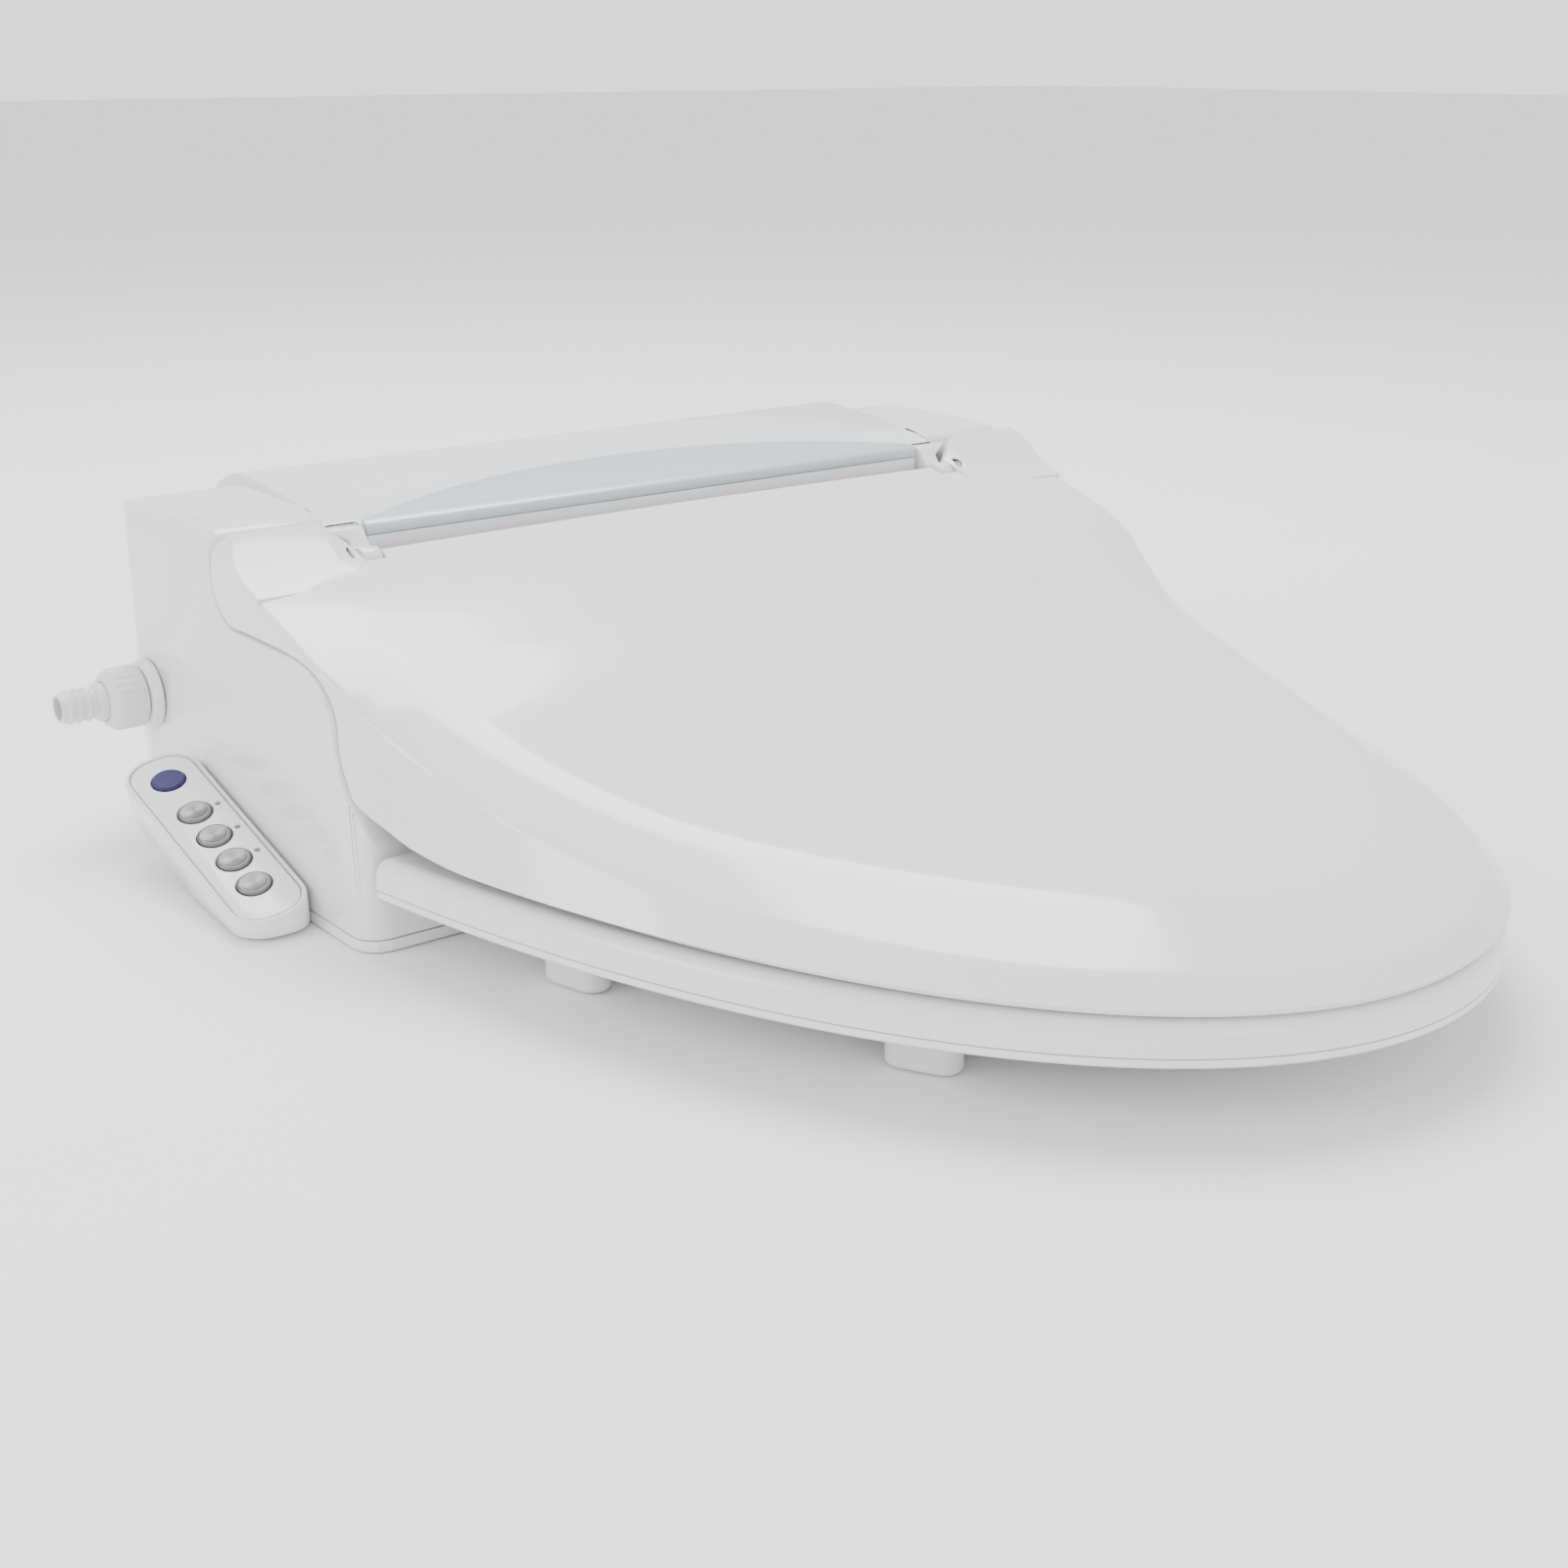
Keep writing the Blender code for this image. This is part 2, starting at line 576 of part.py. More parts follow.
def hinge_strip():
    """The white strip that closes the housing's front below the silver plate."""
    back = depth(PLATEAU_FRONT_DEPTH + GAP)
    front = depth(TRIM_FRONT_DEPTH)
    top = TRIM_LIP_HEIGHT - GAP
    section = [(back, 0.1045), (back, top), (front + 0.0004, top), (front, top - 0.0004), (front, 0.1052),
               (front + 0.0007, 0.1045)]
    return piece("hinge_strip", prism(section, "X", -TRIM_HALF, TRIM_HALF), "white")


# ---- lid -----------------------------------------------------------------------------------------

def lid_plan():
    """Half of the lid's outline, from the hinge round to the tip, on the +X side."""
    plan = [(HALF_WIDTH, depth(back)) for back in (LID_REAR_DEPTH, 0.140, 0.152, 0.164, 0.174)]
    plan += bezier((HALF_WIDTH, depth(0.183)), (HALF_WIDTH, depth(0.205)),
                   (0.1945, depth(0.212)), (SEAT_REAR_HALF + 0.0003, depth(SEAT_REAR_DEPTH)), 8)
    return plan + seat_outline(20)[1:]


def lid_sections():
    """Rows of points across half the lid: lower edge, crease, edge of the top, middle."""
    plan = lid_plan()
    rows = []
    for n, point in enumerate(plan):
        way = (Vector(plan[min(n + 1, len(plan) - 1)]) - Vector(plan[max(n - 1, 0)])).normalized()
        if n == len(plan) - 1:
            way = Vector((-1, 0))
        inward = Vector((way.y, -way.x))
        share = n / (len(plan) - 1)
        back = BOLT_DEPTH - point[1]
        wide = LID_PLATEAU_INSET + (LID_PLATEAU_TIP_INSET - LID_PLATEAU_INSET) * share ** 3
        crease = Vector(point) + inward * LID_CREASE_INSET * min(1.0, max(0.0, (back - 0.183) / 0.05))
        top = Vector(point) + inward * wide
        row = [(point[0], point[1], curve_height(LID_EDGE, back)),
               (crease.x, crease.y, curve_height(LID_SIDE, BOLT_DEPTH - crease.y)),
               (max(0.0, top.x), top.y, curve_height(LID_TOP, BOLT_DEPTH - top.y))]
        crown = LID_CROWN * row[2][0] / HALF_WIDTH
        row.append((row[2][0] * 0.5, top.y, row[2][2] + crown * 0.7))
        row.append((0.0, top.y, row[2][2] + crown))
        rows.append(row)
    return rows


def lid_sheet():
    """The lid's outer skin, which a Solidify thickens inwards."""
    bm = bmesh.new()
    made = []
    for row in lid_sections():
        full = row + [(-x, y, z) for x, y, z in reversed(row[:-1])]
        made.append([bm.verts.new(p) for p in full])
    for a, b in zip(made, made[1:]):
        for n in range(len(a) - 1):
            bm.faces.new((a[n], a[n + 1], b[n + 1], b[n]))
    bmesh.ops.remove_doubles(bm, verts=bm.verts, dist=0.00001)
    return bm


def ear_section(x, radius):
    """An ear's side view where its barrel has a radius: barrel, slope down to the lid, front, underside."""
    points = hinge_circle(radius, -90, 67, 10)
    points.append((depth(0.1395), curve_height(LID_TOP, 0.1395) + 0.0012))
    points.append((depth(0.1520), curve_height(LID_TOP, 0.1520) - 0.0006))
    points.append((depth(0.1520), HINGE_HEIGHT - radius + 0.0008))
    return [(x, y, z) for y, z in points]


def lid_ear(side, word, lid):
    """One hinge ear: coned at its inner end, rounded at its outer edge, open below for the seat's hub."""
    low_r = 0.0065
    cone = EAR_R - low_r
    stations = [(EAR_INNER - 0.0002, low_r), (EAR_INNER + cone * 0.5, low_r + cone * 0.5),
                (EAR_INNER + cone, EAR_R), (HALF_WIDTH, EAR_R)]
    add(lid, f"ear_{word}", rings([ear_section(side * x, radius) for x, radius in stations]))
    middle = HALF_WIDTH - SIDE_TOP_R
    corner = arc((side * middle, SHOULDER_HEIGHT - SIDE_TOP_R), SIDE_TOP_R + 0.00015,
                 *((0, 90) if side > 0 else (180, 90)), 8)
    corner = [(side * 0.21, corner[0][1])] + corner
    corner += [(side * middle, 0.145), (side * 0.21, 0.145)]
    cut(lid, f"ear_corner_{word}", prism(corner, "Y", depth(0.160), depth(0.100)))
    hood = HUB_R + HUB_GAP
    hollow = hinge_circle(hood, 180, 25, 9)
    reach = EAR_R + 0.003
    turn = math.radians(25)
    hollow += [(HINGE_POINT.y + reach * math.cos(turn), HINGE_POINT.z + reach * math.sin(turn)),
               (HINGE_POINT.y + reach, 0.08), (depth(0.170), 0.08),
               (depth(0.170), curve_height(LID_TOP, 0.170) - LID_WALL - 0.0005),
               (depth(0.152), curve_height(LID_TOP, 0.152) - LID_WALL - 0.0005)]
    cut(lid, f"ear_hollow_{word}", prism(hollow, "X", *arm_slot_ends(side, 0.0002)))
    cut(lid, f"ear_bore_{word}", cylinder(PIN_R + PLAY, (side * 0.140, *HINGE_POINT.yz),
                                          (side * 0.1885, *HINGE_POINT.yz), 16))
    cut(lid, f"damper_bore_{word}", cylinder(DAMPER_R + GAP, (side * 0.160, *HINGE_POINT.yz),
                                             (side * 0.1902, *HINGE_POINT.yz), 16))


def lid_shell(joint):
    lid = piece("lid", lid_sheet(), "white", joint)
    shell = lid.modifiers.new("Wall", "SOLIDIFY")
    shell.thickness = LID_WALL
    shell.offset = -1.0
    shell.use_even_offset = True
    notch_back = depth(LID_REAR_DEPTH - 0.005)
    for side, word in SIDES:
        plan = [(side * (TRIM_HALF + 0.0004), notch_back), (side * (TRIM_HALF + 0.0004), depth(LID_REAR_DEPTH)),
                (side * (KNUCKLE_INNER - 0.0006), depth(0.1380)), (side * EAR_INNER, depth(0.1380)),
                (side * EAR_INNER, notch_back)]
        cut(lid, f"knuckle_notch_{word}", prism(plan, "Z", 0.105, 0.13))
    for side, word in SIDES:
        lid_ear(side, word, lid)
    nose = front_profile(0.030)
    nose = [(y - 0.6 * LID_GAP, z + LID_GAP) for y, z in nose]
    nose = [(depth(0.1500), nose[0][1])] + nose + [(depth(0.1500), 0.030)]
    cut(lid, "housing_nose", prism(nose, "X", -0.25, 0.25))
    return lid


def lid_buffers(joint):
    for side, word in SIDES:
        x, back = side * 0.056, 0.447
        top = curve_height(LID_TOP, back) - LID_WALL - 3 * GAP
        piece(f"lid_buffer_{word}", cylinder(0.0055, (x, depth(back), SEAT_TOP + 2 * GAP),
                                             (x, depth(back), top), 12), "rubber", joint)


# ---- seat ----------------------------------------------------------------------------------------

RING_STEPS = 60


def seat_plan():
    """The seat's whole outline, with the tongue that reaches into the housing's front."""
    half = seat_outline(28)
    tongue = (RECESS_HALF - 0.003, depth(HOUSING_DEPTH - RECESS_DEPTH + 0.004))
    rear = [(-half[0][0], half[0][1]), (-tongue[0], half[0][1]), (-tongue[0], tongue[1]),
            (tongue[0], tongue[1]), (tongue[0], half[0][1])]
    left = [(-x, y) for x, y in reversed(half[:-1])]
    return rear[1:] + half + left


def opening_radius(angle):
    """The opening's outline as a distance from its centre."""
    half_long = (OPENING_FRONT_DEPTH - OPENING_REAR_DEPTH) / 2
    power = 2.3
    c, s = abs(math.cos(angle)), abs(math.sin(angle))
    return ((c / OPENING_HALF) ** power + (s / half_long) ** power) ** (-1 / power)


def ring_rays():
    """For each direction from the opening's centre, the points on its edge and on the seat's edge."""
    centre = np.array((0.0, depth((OPENING_FRONT_DEPTH + OPENING_REAR_DEPTH) / 2)))
    outline = np.array(seat_plan())
    following = np.roll(outline, -1, axis=0)
    corners = [math.atan2(*(p - centre)[::-1]) for p in outline[:4]]
    corners += [math.atan2(*(p - centre)[::-1]) for p in (outline[4], outline[-1])]
    angles = sorted(set([2 * math.pi * n / RING_STEPS - math.pi + 0.001 for n in range(RING_STEPS)] + corners))
    kept = [angles[0]]
    for a in angles[1:]:
        if a - kept[-1] > 0.004:
            kept.append(a)
    rays = []
    for angle in kept:
        way = np.array((math.cos(angle), math.sin(angle)))
        across = np.array((-way[1], way[0]))
        best = None
        for a, b in zip(outline - centre, following - centre):
            sa, sb = a @ across, b @ across
            if sa * sb <= 0 and abs(sa - sb) > 1e-12:
                reach = (a + (b - a) * sa / (sa - sb)) @ way
                if reach > 0:
                    best = max(best or 0.0, reach)
        rays.append((centre + way * opening_radius(angle), centre + way * best))
    return rays


def ring_solid(section):
    """A solid round the opening; section gives (share from the opening outwards, height) points."""
    loops = []
    for inner, outer in ring_rays():
        wide = float(np.linalg.norm(outer - inner))
        loops.append([(*(inner + (outer - inner) * share), height) for share, height in section(wide)])
    return rings(loops, closed=True)


def seat_top(joint):
    """The upper shell, which is what the user sits on."""
    low = SEAT_UNDERSIDE + SEAT_PLATE + GAP

    def section(wide):
        edge = min(0.0055, wide * 0.3) / wide
        wall = min(WALL, wide * 0.25) / wide
        return [(1.0, low), (1.0, 0.0305), (1 - edge * 0.30, 0.0350), (1 - edge, SEAT_TOP),
                (0.5, SEAT_TOP - 0.0006), (edge * 1.5, 0.0338), (0.0, 0.0290), (0.0, low),
                (wall, low), (wall, 0.0285), (0.5, SEAT_TOP - 0.0034), (1 - wall, 0.0320), (1 - wall, low)]

    return piece("seat_top", ring_solid(section), "white", joint)


def seat_heater(joint):
    """The heating foil bonded under the upper shell."""
    def section(wide):
        side = min(0.010, wide * 0.38) / wide
        return [(1 - side, 0.0268), (1 - side, 0.0272), (side, 0.0272), (side, 0.0268)]

    return piece("seat_heater", ring_solid(section), "foil", joint)


def seat_base(joint):
    """The lower shell with the two arms that rise to the hinge."""
    def section(wide):
        del wide
        return [(1.0, SEAT_UNDERSIDE), (1.0, SEAT_UNDERSIDE + SEAT_PLATE), (0.0, SEAT_UNDERSIDE + SEAT_PLATE),
                (0.0, SEAT_UNDERSIDE)]

    base = piece("seat_base", ring_solid(section), "white", joint)
    foot = [(depth(0.2197), SEAT_UNDERSIDE + 0.0005), (depth(0.2350), SEAT_UNDERSIDE + 0.0005),
            (depth(0.2350), SEAT_UNDERSIDE + SEAT_PLATE - 0.0003),
            (depth(0.2219), SEAT_UNDERSIDE + SEAT_PLATE - 0.0003)]
    lower = [(depth(back), z) for back, z in ARM_LOWER]
    upper = [(depth(back), z) for back, z in ARM_UPPER]
    profile = hinge_circle(HUB_R, 190, -90, 14) + lower + foot + upper
    for side, word in SIDES:
        add(base, f"arm_{word}", prism(profile, "X", *sorted((side * ARM_INNER, side * ARM_OUTER))))
        cut(base, f"arm_bore_{word}", cylinder(PIN_R + PLAY, (side * 0.14, *HINGE_POINT.yz),
                                               (side * 0.17, *HINGE_POINT.yz), 16))
    return base


def seat_bumpers(joint):
    """Four oblong feet that rest on the rim."""
    for name, x, back in (("front", 0.1014, 0.4002), ("rear", 0.1503, 0.2815)):
        for side, word in ((-1, "right"), (1, "left")):
            turn = Matrix.Rotation(side * math.radians(62 if name == "front" else 76), 4, "Z")
            frame = Matrix.Translation((side * x, depth(back), 0)) @ turn
            foot = rounded_box((-0.0125, -0.0062), (0.0125, 0.0062), 0.0060)
            sole = inset(foot, 0.0008)
            loops = [[(*p, 0.0) for p in sole], [(*p, 0.0012) for p in foot],
                     [(*p, SEAT_UNDERSIDE - GAP) for p in foot]]
            piece(f"seat_bumper_{name}_{word}", placed(rings(loops), frame), "rubber", joint)


def hinge_pins():
    """Steel pins fixed in the housing's knuckles that carry the seat's hubs and the lid's ears."""
    for side, word in SIDES:
        start = side * (KNUCKLE_INNER + 0.0022)
        piece(f"hinge_pin_{word}", cylinder(PIN_R, (start, *HINGE_POINT.yz), (side * 0.1875, *HINGE_POINT.yz), 16),
              "steel")


def soft_close_dampers(joint):
    """Rotary dampers set in the lid's ears, round the pins."""
    for side, word in SIDES:
        ends = [side * (ARM_OUTER + HUB_GAP + 0.0020), side * 0.1898]
        body = piece(f"soft_close_damper_{word}", cylinder(DAMPER_R, (ends[0], *HINGE_POINT.yz),
                                                           (ends[1], *HINGE_POINT.yz), 16), "dark", joint)
        cut(body, f"damper_hole_{word}", cylinder(PIN_R + PLAY, (side * 0.150, *HINGE_POINT.yz),
                                                  (side * 0.1884, *HINGE_POINT.yz), 16))


def knuckles(cover):
    """Joins the knuckles to the cover and bores them for the pins."""
    for side, word in SIDES:
        combine(cover, knuckle(side, word), "UNION")
        cut(cover, f"pin_bore_{word}", cylinder(PIN_R + GAP, (side * (KNUCKLE_INNER + 0.0018), *HINGE_POINT.yz),
                                                (side * 0.149, *HINGE_POINT.yz), 16))


# ---- control pod ---------------------------------------------------------------------------------

def pod_frame():
    """The pod's own axes: X across (outwards), Y along to the front, Z out of its face."""
    pitch = math.radians(POD_PITCH_DEG)
    roll = math.radians(POD_ROLL_DEG)
    along = Vector((0, -math.cos(pitch), -math.sin(pitch)))
    up = Vector((0, -math.sin(pitch), math.cos(pitch)))
    across = along.cross(up)
    normal = (up * math.cos(roll) + across * math.sin(roll)).normalized()
    across = along.cross(normal)
    turn = Matrix((across, along, normal)).transposed().to_4x4()
    x, back, z = POD_CENTRE
    return Matrix.Translation((x, depth(back), z)) @ turn


def pod_outline(shrink):
    shape = rounded_box((-POD_WIDTH / 2, -0.0575), (POD_WIDTH / 2, POD_LENGTH - 0.0575), POD_CORNER_R, 4)
    return inset(shape, shrink)


def pod_casing(frame):
    """The box that carries the buttons, moulded to lie against the housing's side."""
    loops = [[(*p, 0.0) for p in pod_outline(0.0008)], [(*p, -0.0010) for p in pod_outline(0.0)],
             [(*p, -POD_HEIGHT) for p in pod_outline(0.0015)], [(*p, -POD_HEIGHT - 0.002) for p in pod_outline(0.0045)]]
    casing = piece("pod_casing", placed(rings(loops), frame), "white")
    keep(casing, "pod_side", box((-0.30, -0.30, 0.0010), (-HALF_WIDTH - GAP, 0.20, 0.20)))
    cut(casing, "panel_seat", placed(prism(pod_outline(PANEL_INSET - GAP), "Z", -PANEL_THICK - GAP, 0.01), frame))
    for name, place in zip(BUTTON_NAMES, BUTTON_PLACES):
        cut(casing, name + "_well", placed(turned(((BUTTON_R + PLAY, -0.0050), (BUTTON_R + PLAY, 0.01)),
                                                  (0, place, 0), (0, 0, 1), 20), frame))
    cut(casing, "light_channel", placed(box((-0.0107, BUTTON_PLACES[1] - 0.003, -0.0042),
                                            (-0.0075, BUTTON_PLACES[3] + 0.003, 0.01)), frame))
    return casing


def pod_panel(frame):
    """The glossy face with its five button holes and three light holes."""
    panel = piece("pod_panel", placed(prism(pod_outline(PANEL_INSET), "Z", -PANEL_THICK, -0.0001), frame), "white")
    for name, place in zip(BUTTON_NAMES, BUTTON_PLACES):
        cut(panel, name + "_hole", placed(turned(((BUTTON_R + PLAY, -0.01), (BUTTON_R + PLAY, 0.01)),
                                                 (0, place, 0), (0, 0, 1), 20), frame))
    for n, place in enumerate(BUTTON_PLACES[1:4]):
        cut(panel, f"light_hole_{n}", placed(turned(((0.0011, -0.01), (0.0011, 0.01)),
                                                    (-0.0091, place, 0), (0, 0, 1), 8), frame))
    return panel


def pod_lights(frame):
    """One clear bar under the panel, with a peg that shows in each light hole."""
    bar = piece("indicator_lens", placed(box((-0.0103, BUTTON_PLACES[1] - 0.0025, -0.0038),
                                             (-0.0079, BUTTON_PLACES[3] + 0.0025, -PANEL_THICK - GAP)), frame), "lens")
    for n, place in enumerate(BUTTON_PLACES[1:4]):
        add(bar, f"light_peg_{n}", placed(turned(((0.0008, -0.0020), (0.0008, 0.0001)),
                                                 (-0.0091, place, 0), (0, 0, 1), 8), frame))
    return bar


def pod_buttons(frame):
    for n, (name, place) in enumerate(zip(BUTTON_NAMES, BUTTON_PLACES)):
        top = BUTTON_HEIGHT - 0.0022
        foot = top - BUTTON_HEIGHT
        shape = ((BUTTON_R, foot), (BUTTON_R, top - 0.0005), (BUTTON_R - 0.0006, top))
        joint = pivot(name + "_slide", frame @ Vector((0, place, 0)))
        piece(name, placed(turned(shape, (0, place, 0), (0, 0, 1), 20), frame),
              "steel" if n else "indigo", joint)


# ---- water ---------------------------------------------------------------------------------------

def inlet_point(x):
    return (x, depth(INLET_DEPTH), INLET_HEIGHT)


def water_inlet():
    """The inlet stub, its collar and the union nut that a hose screws into."""
    out = (-1, 0, 0)
    start = inlet_point(-HALF_WIDTH + 0.012)
    side = -HALF_WIDTH + 0.012
    profile = [(INLET_PIPE_R, 0.0), (INLET_PIPE_R, side + INLET_TIP - 0.0150),
               (0.0058, side + INLET_TIP - 0.0140)]
    ridge = side + INLET_TIP - 0.0120
    for n in range(3):
        profile += [(0.0058, ridge + n * 0.0036), (0.0068, ridge + n * 0.0036 + 0.0006),
                    (0.0068, ridge + n * 0.0036 + 0.0020), (0.0058, ridge + n * 0.0036 + 0.0026)]
    profile += [(0.0056, side + INLET_TIP), (INLET_BORE_R, side + INLET_TIP), (INLET_BORE_R, 0.0)]
    piece("inlet_pipe", turned(profile, start, out, 16, True), "pale")
    nut_start = inlet_point(-HALF_WIDTH - 0.0052)
    nut = ((INLET_PIPE_R + GAP, 0.0), (0.0112, 0.0), (0.0122, 0.0010), (0.0122, 0.0120), (0.0095, 0.0150),
           (INLET_PIPE_R + GAP, 0.0150))
    piece("inlet_nut", turned(nut, nut_start, out, 12, True), "pale")
    washer = ((INLET_PIPE_R + GAP, 0.0), (0.0135, 0.0), (0.0135, 0.0042), (INLET_PIPE_R + GAP, 0.0042))
    piece("inlet_collar", turned(washer, inlet_point(-HALF_WIDTH - 0.0006), out, ROUND, True), "white")


def water_system():
    """Filter, valve, pressure regulator and heater tank behind the inlet."""
    x = -HALF_WIDTH + 0.012 + GAP
    valve = piece("solenoid_valve", box((x, depth(0.070), 0.040), (x + 0.026, depth(0.0395), 0.072)), "dark")
    add(valve, "valve_coil", cylinder(0.011, (x + 0.013, depth(0.048), 0.070), (x + 0.013, depth(0.048), 0.098), 16))
    cut(valve, "valve_port", cylinder(INLET_BORE_R, (x - 0.01, depth(INLET_DEPTH), INLET_HEIGHT),
                                      (x + 0.010, depth(INLET_DEPTH), INLET_HEIGHT), 16))
    piece("inlet_filter", tube(INLET_BORE_R - GAP, INLET_BORE_R - 0.0011,
                               inlet_point(-HALF_WIDTH - 0.004), inlet_point(-HALF_WIDTH + 0.011), 12), "steel")
    plan = rounded_box((-0.150, depth(0.098)), (-0.060, depth(0.020)), 0.010)
    lid_plan = inset(plan, -0.003)
    piece("heater_tank", rings([[(*p, 0.008) for p in plan], [(*p, 0.082) for p in plan]]), "pale")
    piece("heater_tank_lid", rings([[(*p, 0.082 + GAP) for p in lid_plan], [(*p, 0.088) for p in lid_plan]]), "pale")
    pump = piece("wash_pump", cylinder(0.014, (-0.045, depth(0.040), 0.0095), (-0.045, depth(0.040), 0.045), 16),
                 "dark")
    add(pump, "pump_head", box((-0.056, depth(0.056), 0.0095), (-0.034, depth(0.024), 0.018)))


# ---- nozzles -------------------------------------------------------------------------------------

def nozzle_frame():
    """The nozzles' axes: Y out along the slope to the front and down, origin at the retracted tips."""
    slope = math.radians(NOZZLE_SLOPE_DEG)
    along = Vector((0, -math.cos(slope), -math.sin(slope)))
    up = Vector((0, -math.sin(slope), math.cos(slope)))
    turn = Matrix((along.cross(up), along, up)).transposed().to_4x4()
    return Matrix.Translation((0, depth(NOZZLE_TIP_DEPTH), NOZZLE_TIP_HEIGHT)) @ turn


def nozzle_unit(frame):
    """The guide block with its two bores and the two wands that slide in it."""
    half = NOZZLE_SPACING / 2 + NOZZLE_R + 0.0035
    guide = piece("nozzle_guide", placed(box((-half, -0.075, -0.0075), (half, -0.006, 0.0075)), frame), "pale")
    add(guide, "guide_bridge", placed(box((-half, -0.120, 0.0057), (half, -0.006, 0.0095)), frame))
    for side, name in ((-1, "rear_wash_nozzle"), (1, "front_wash_nozzle")):
        x = side * NOZZLE_SPACING / 2
        cut(guide, name + "_bore", placed(cylinder(NOZZLE_R + PLAY, (x, -0.13, 0), (x, 0.01, 0), 20), frame))
        shape = ((NOZZLE_R, -NOZZLE_LENGTH), (NOZZLE_R, -0.0030), (NOZZLE_R - 0.0008, -0.0010), (0.0022, 0.0))
        joint = pivot(name + "_slide", frame @ Vector((x, 0, 0)))
        wand = piece(name, placed(turned(shape, (x, 0, 0), (0, 1, 0), 20), frame), "pale", joint)
        cut(wand, name + "_jet", placed(cylinder(0.0011, (x, -0.008, 0.0010), (x, -0.008, 0.01), 8), frame))
    motor = piece("nozzle_motor", placed(cylinder(0.0105, (half + 0.004, -0.055, 0.002), (half + 0.020, -0.055, 0.002),
                                                  16), frame), "dark")
    add(motor, "motor_ears", placed(box((half + 0.0035, -0.070, -0.0005), (half + 0.0060, -0.040, 0.0045)), frame))


def dryer(cover_face):
    """Warm-air dryer: scroll housing, fan, heater element and the outlet door."""
    scroll = piece("dryer_scroll", cylinder(0.032, (0.098, depth(0.138), 0.0082), (0.098, depth(0.138), 0.040), 28),
                   "pale")
    add(scroll, "dryer_duct", box((DRYER_X - 0.015, depth(0.1895), 0.0062), (DRYER_X + 0.034, depth(0.139), 0.0235)))
    cut(scroll, "dryer_chamber", cylinder(0.0298, (0.098, depth(0.138), 0.0102), (0.098, depth(0.138), 0.060), 28))
    cut(scroll, "dryer_way", box((DRYER_X - 0.013, depth(0.20), 0.0082), (DRYER_X + 0.032, depth(0.141), 0.0218)))
    element = piece("dryer_element", box((DRYER_X - 0.011, depth(0.182), 0.0105), (DRYER_X + 0.011, depth(0.172), 0.0190)),
                    "foil")
    for n in range(3):
        x = DRYER_X - 0.0070 + 0.0070 * n
        cut(element, f"element_gap_{n}", box((x - 0.0022, depth(0.19), 0.0120), (x + 0.0022, depth(0.16), 0.0175)))
    hub = Vector((0.098, depth(0.138), 0.0122))
    joint = pivot("fan_spin", hub)
    fan = piece("dryer_fan", turned(((0.004, 0.0), (0.024, 0.0), (0.024, 0.0016), (0.008, 0.0016), (0.008, 0.018),
                                     (0.004, 0.018)), hub, (0, 0, 1), 24, True), "dark", joint)
    for n in range(10):
        blade = box((0.014, -0.0009, 0.0010), (0.0235, 0.0009, 0.022))
        angle = 2 * math.pi * n / 10
        add(fan, f"blade_{n}", placed(blade, Matrix.Translation(hub) @ Matrix.Rotation(angle, 4, "Z")))
    motor = cylinder(0.013, (hub.x, hub.y, 0.0410), (hub.x, hub.y, 0.058), 20)
    case = piece("fan_motor", motor, "dark")
    add(case, "fan_spindle", cylinder(0.004 - PLAY, (hub.x, hub.y, 0.0140), (hub.x, hub.y, 0.0425), 16))
    add(case, "motor_flange", cylinder(0.034, (hub.x, hub.y, 0.0400 + GAP), (hub.x, hub.y, 0.0420), 28))
    axis = Vector((DRYER_X, cover_face + 0.0026, DRYER_TOP - 0.0020))
    hinge = pivot("dryer_flap_hinge", axis)
    door = piece("dryer_flap", box((DRYER_X - DRYER_HALF + PLAY, cover_face, DRYER_LOW + PLAY),
                                   (DRYER_X + DRYER_HALF - PLAY, cover_face + FLAP_THICK, axis.z)), "white", hinge)
    add(door, "dryer_flap_barrel", cylinder(0.0014, (DRYER_X - DRYER_HALF + PLAY, *axis.yz),
                                            (DRYER_X + DRYER_HALF - PLAY, *axis.yz), 12))
    return axis


# ---- electrics and air ---------------------------------------------------------------------------

def electrics():
    """Control board with its heavier components, and the bush that the mains lead leaves through."""
    board = piece("control_board", box((0.050, depth(0.100), 0.012), (0.155, depth(0.028), 0.0136)), "board")
    add(board, "transformer", box((0.060, depth(0.062), 0.0130), (0.092, depth(0.034), 0.036)))
    add(board, "relay", box((0.104, depth(0.050), 0.0130), (0.122, depth(0.036), 0.028)))
    add(board, "capacitor", cylinder(0.006, (0.140, depth(0.080), 0.0130), (0.140, depth(0.080), 0.032), 12))
    add(board, "connector", box((0.062, depth(0.098), 0.0130), (0.098, depth(0.090), 0.022)))
    start = (GLAND_X, depth(0.0075), GLAND_HEIGHT)
    profile = ((0.0034, 0.0), (0.0090, 0.0), (0.0090, 0.0030), (GLAND_R, 0.0030), (GLAND_R, 0.0073),
               (0.0034, 0.0073))
    piece("cord_gland", turned(profile, start, (0, 1, 0), ROUND, True), "dark")


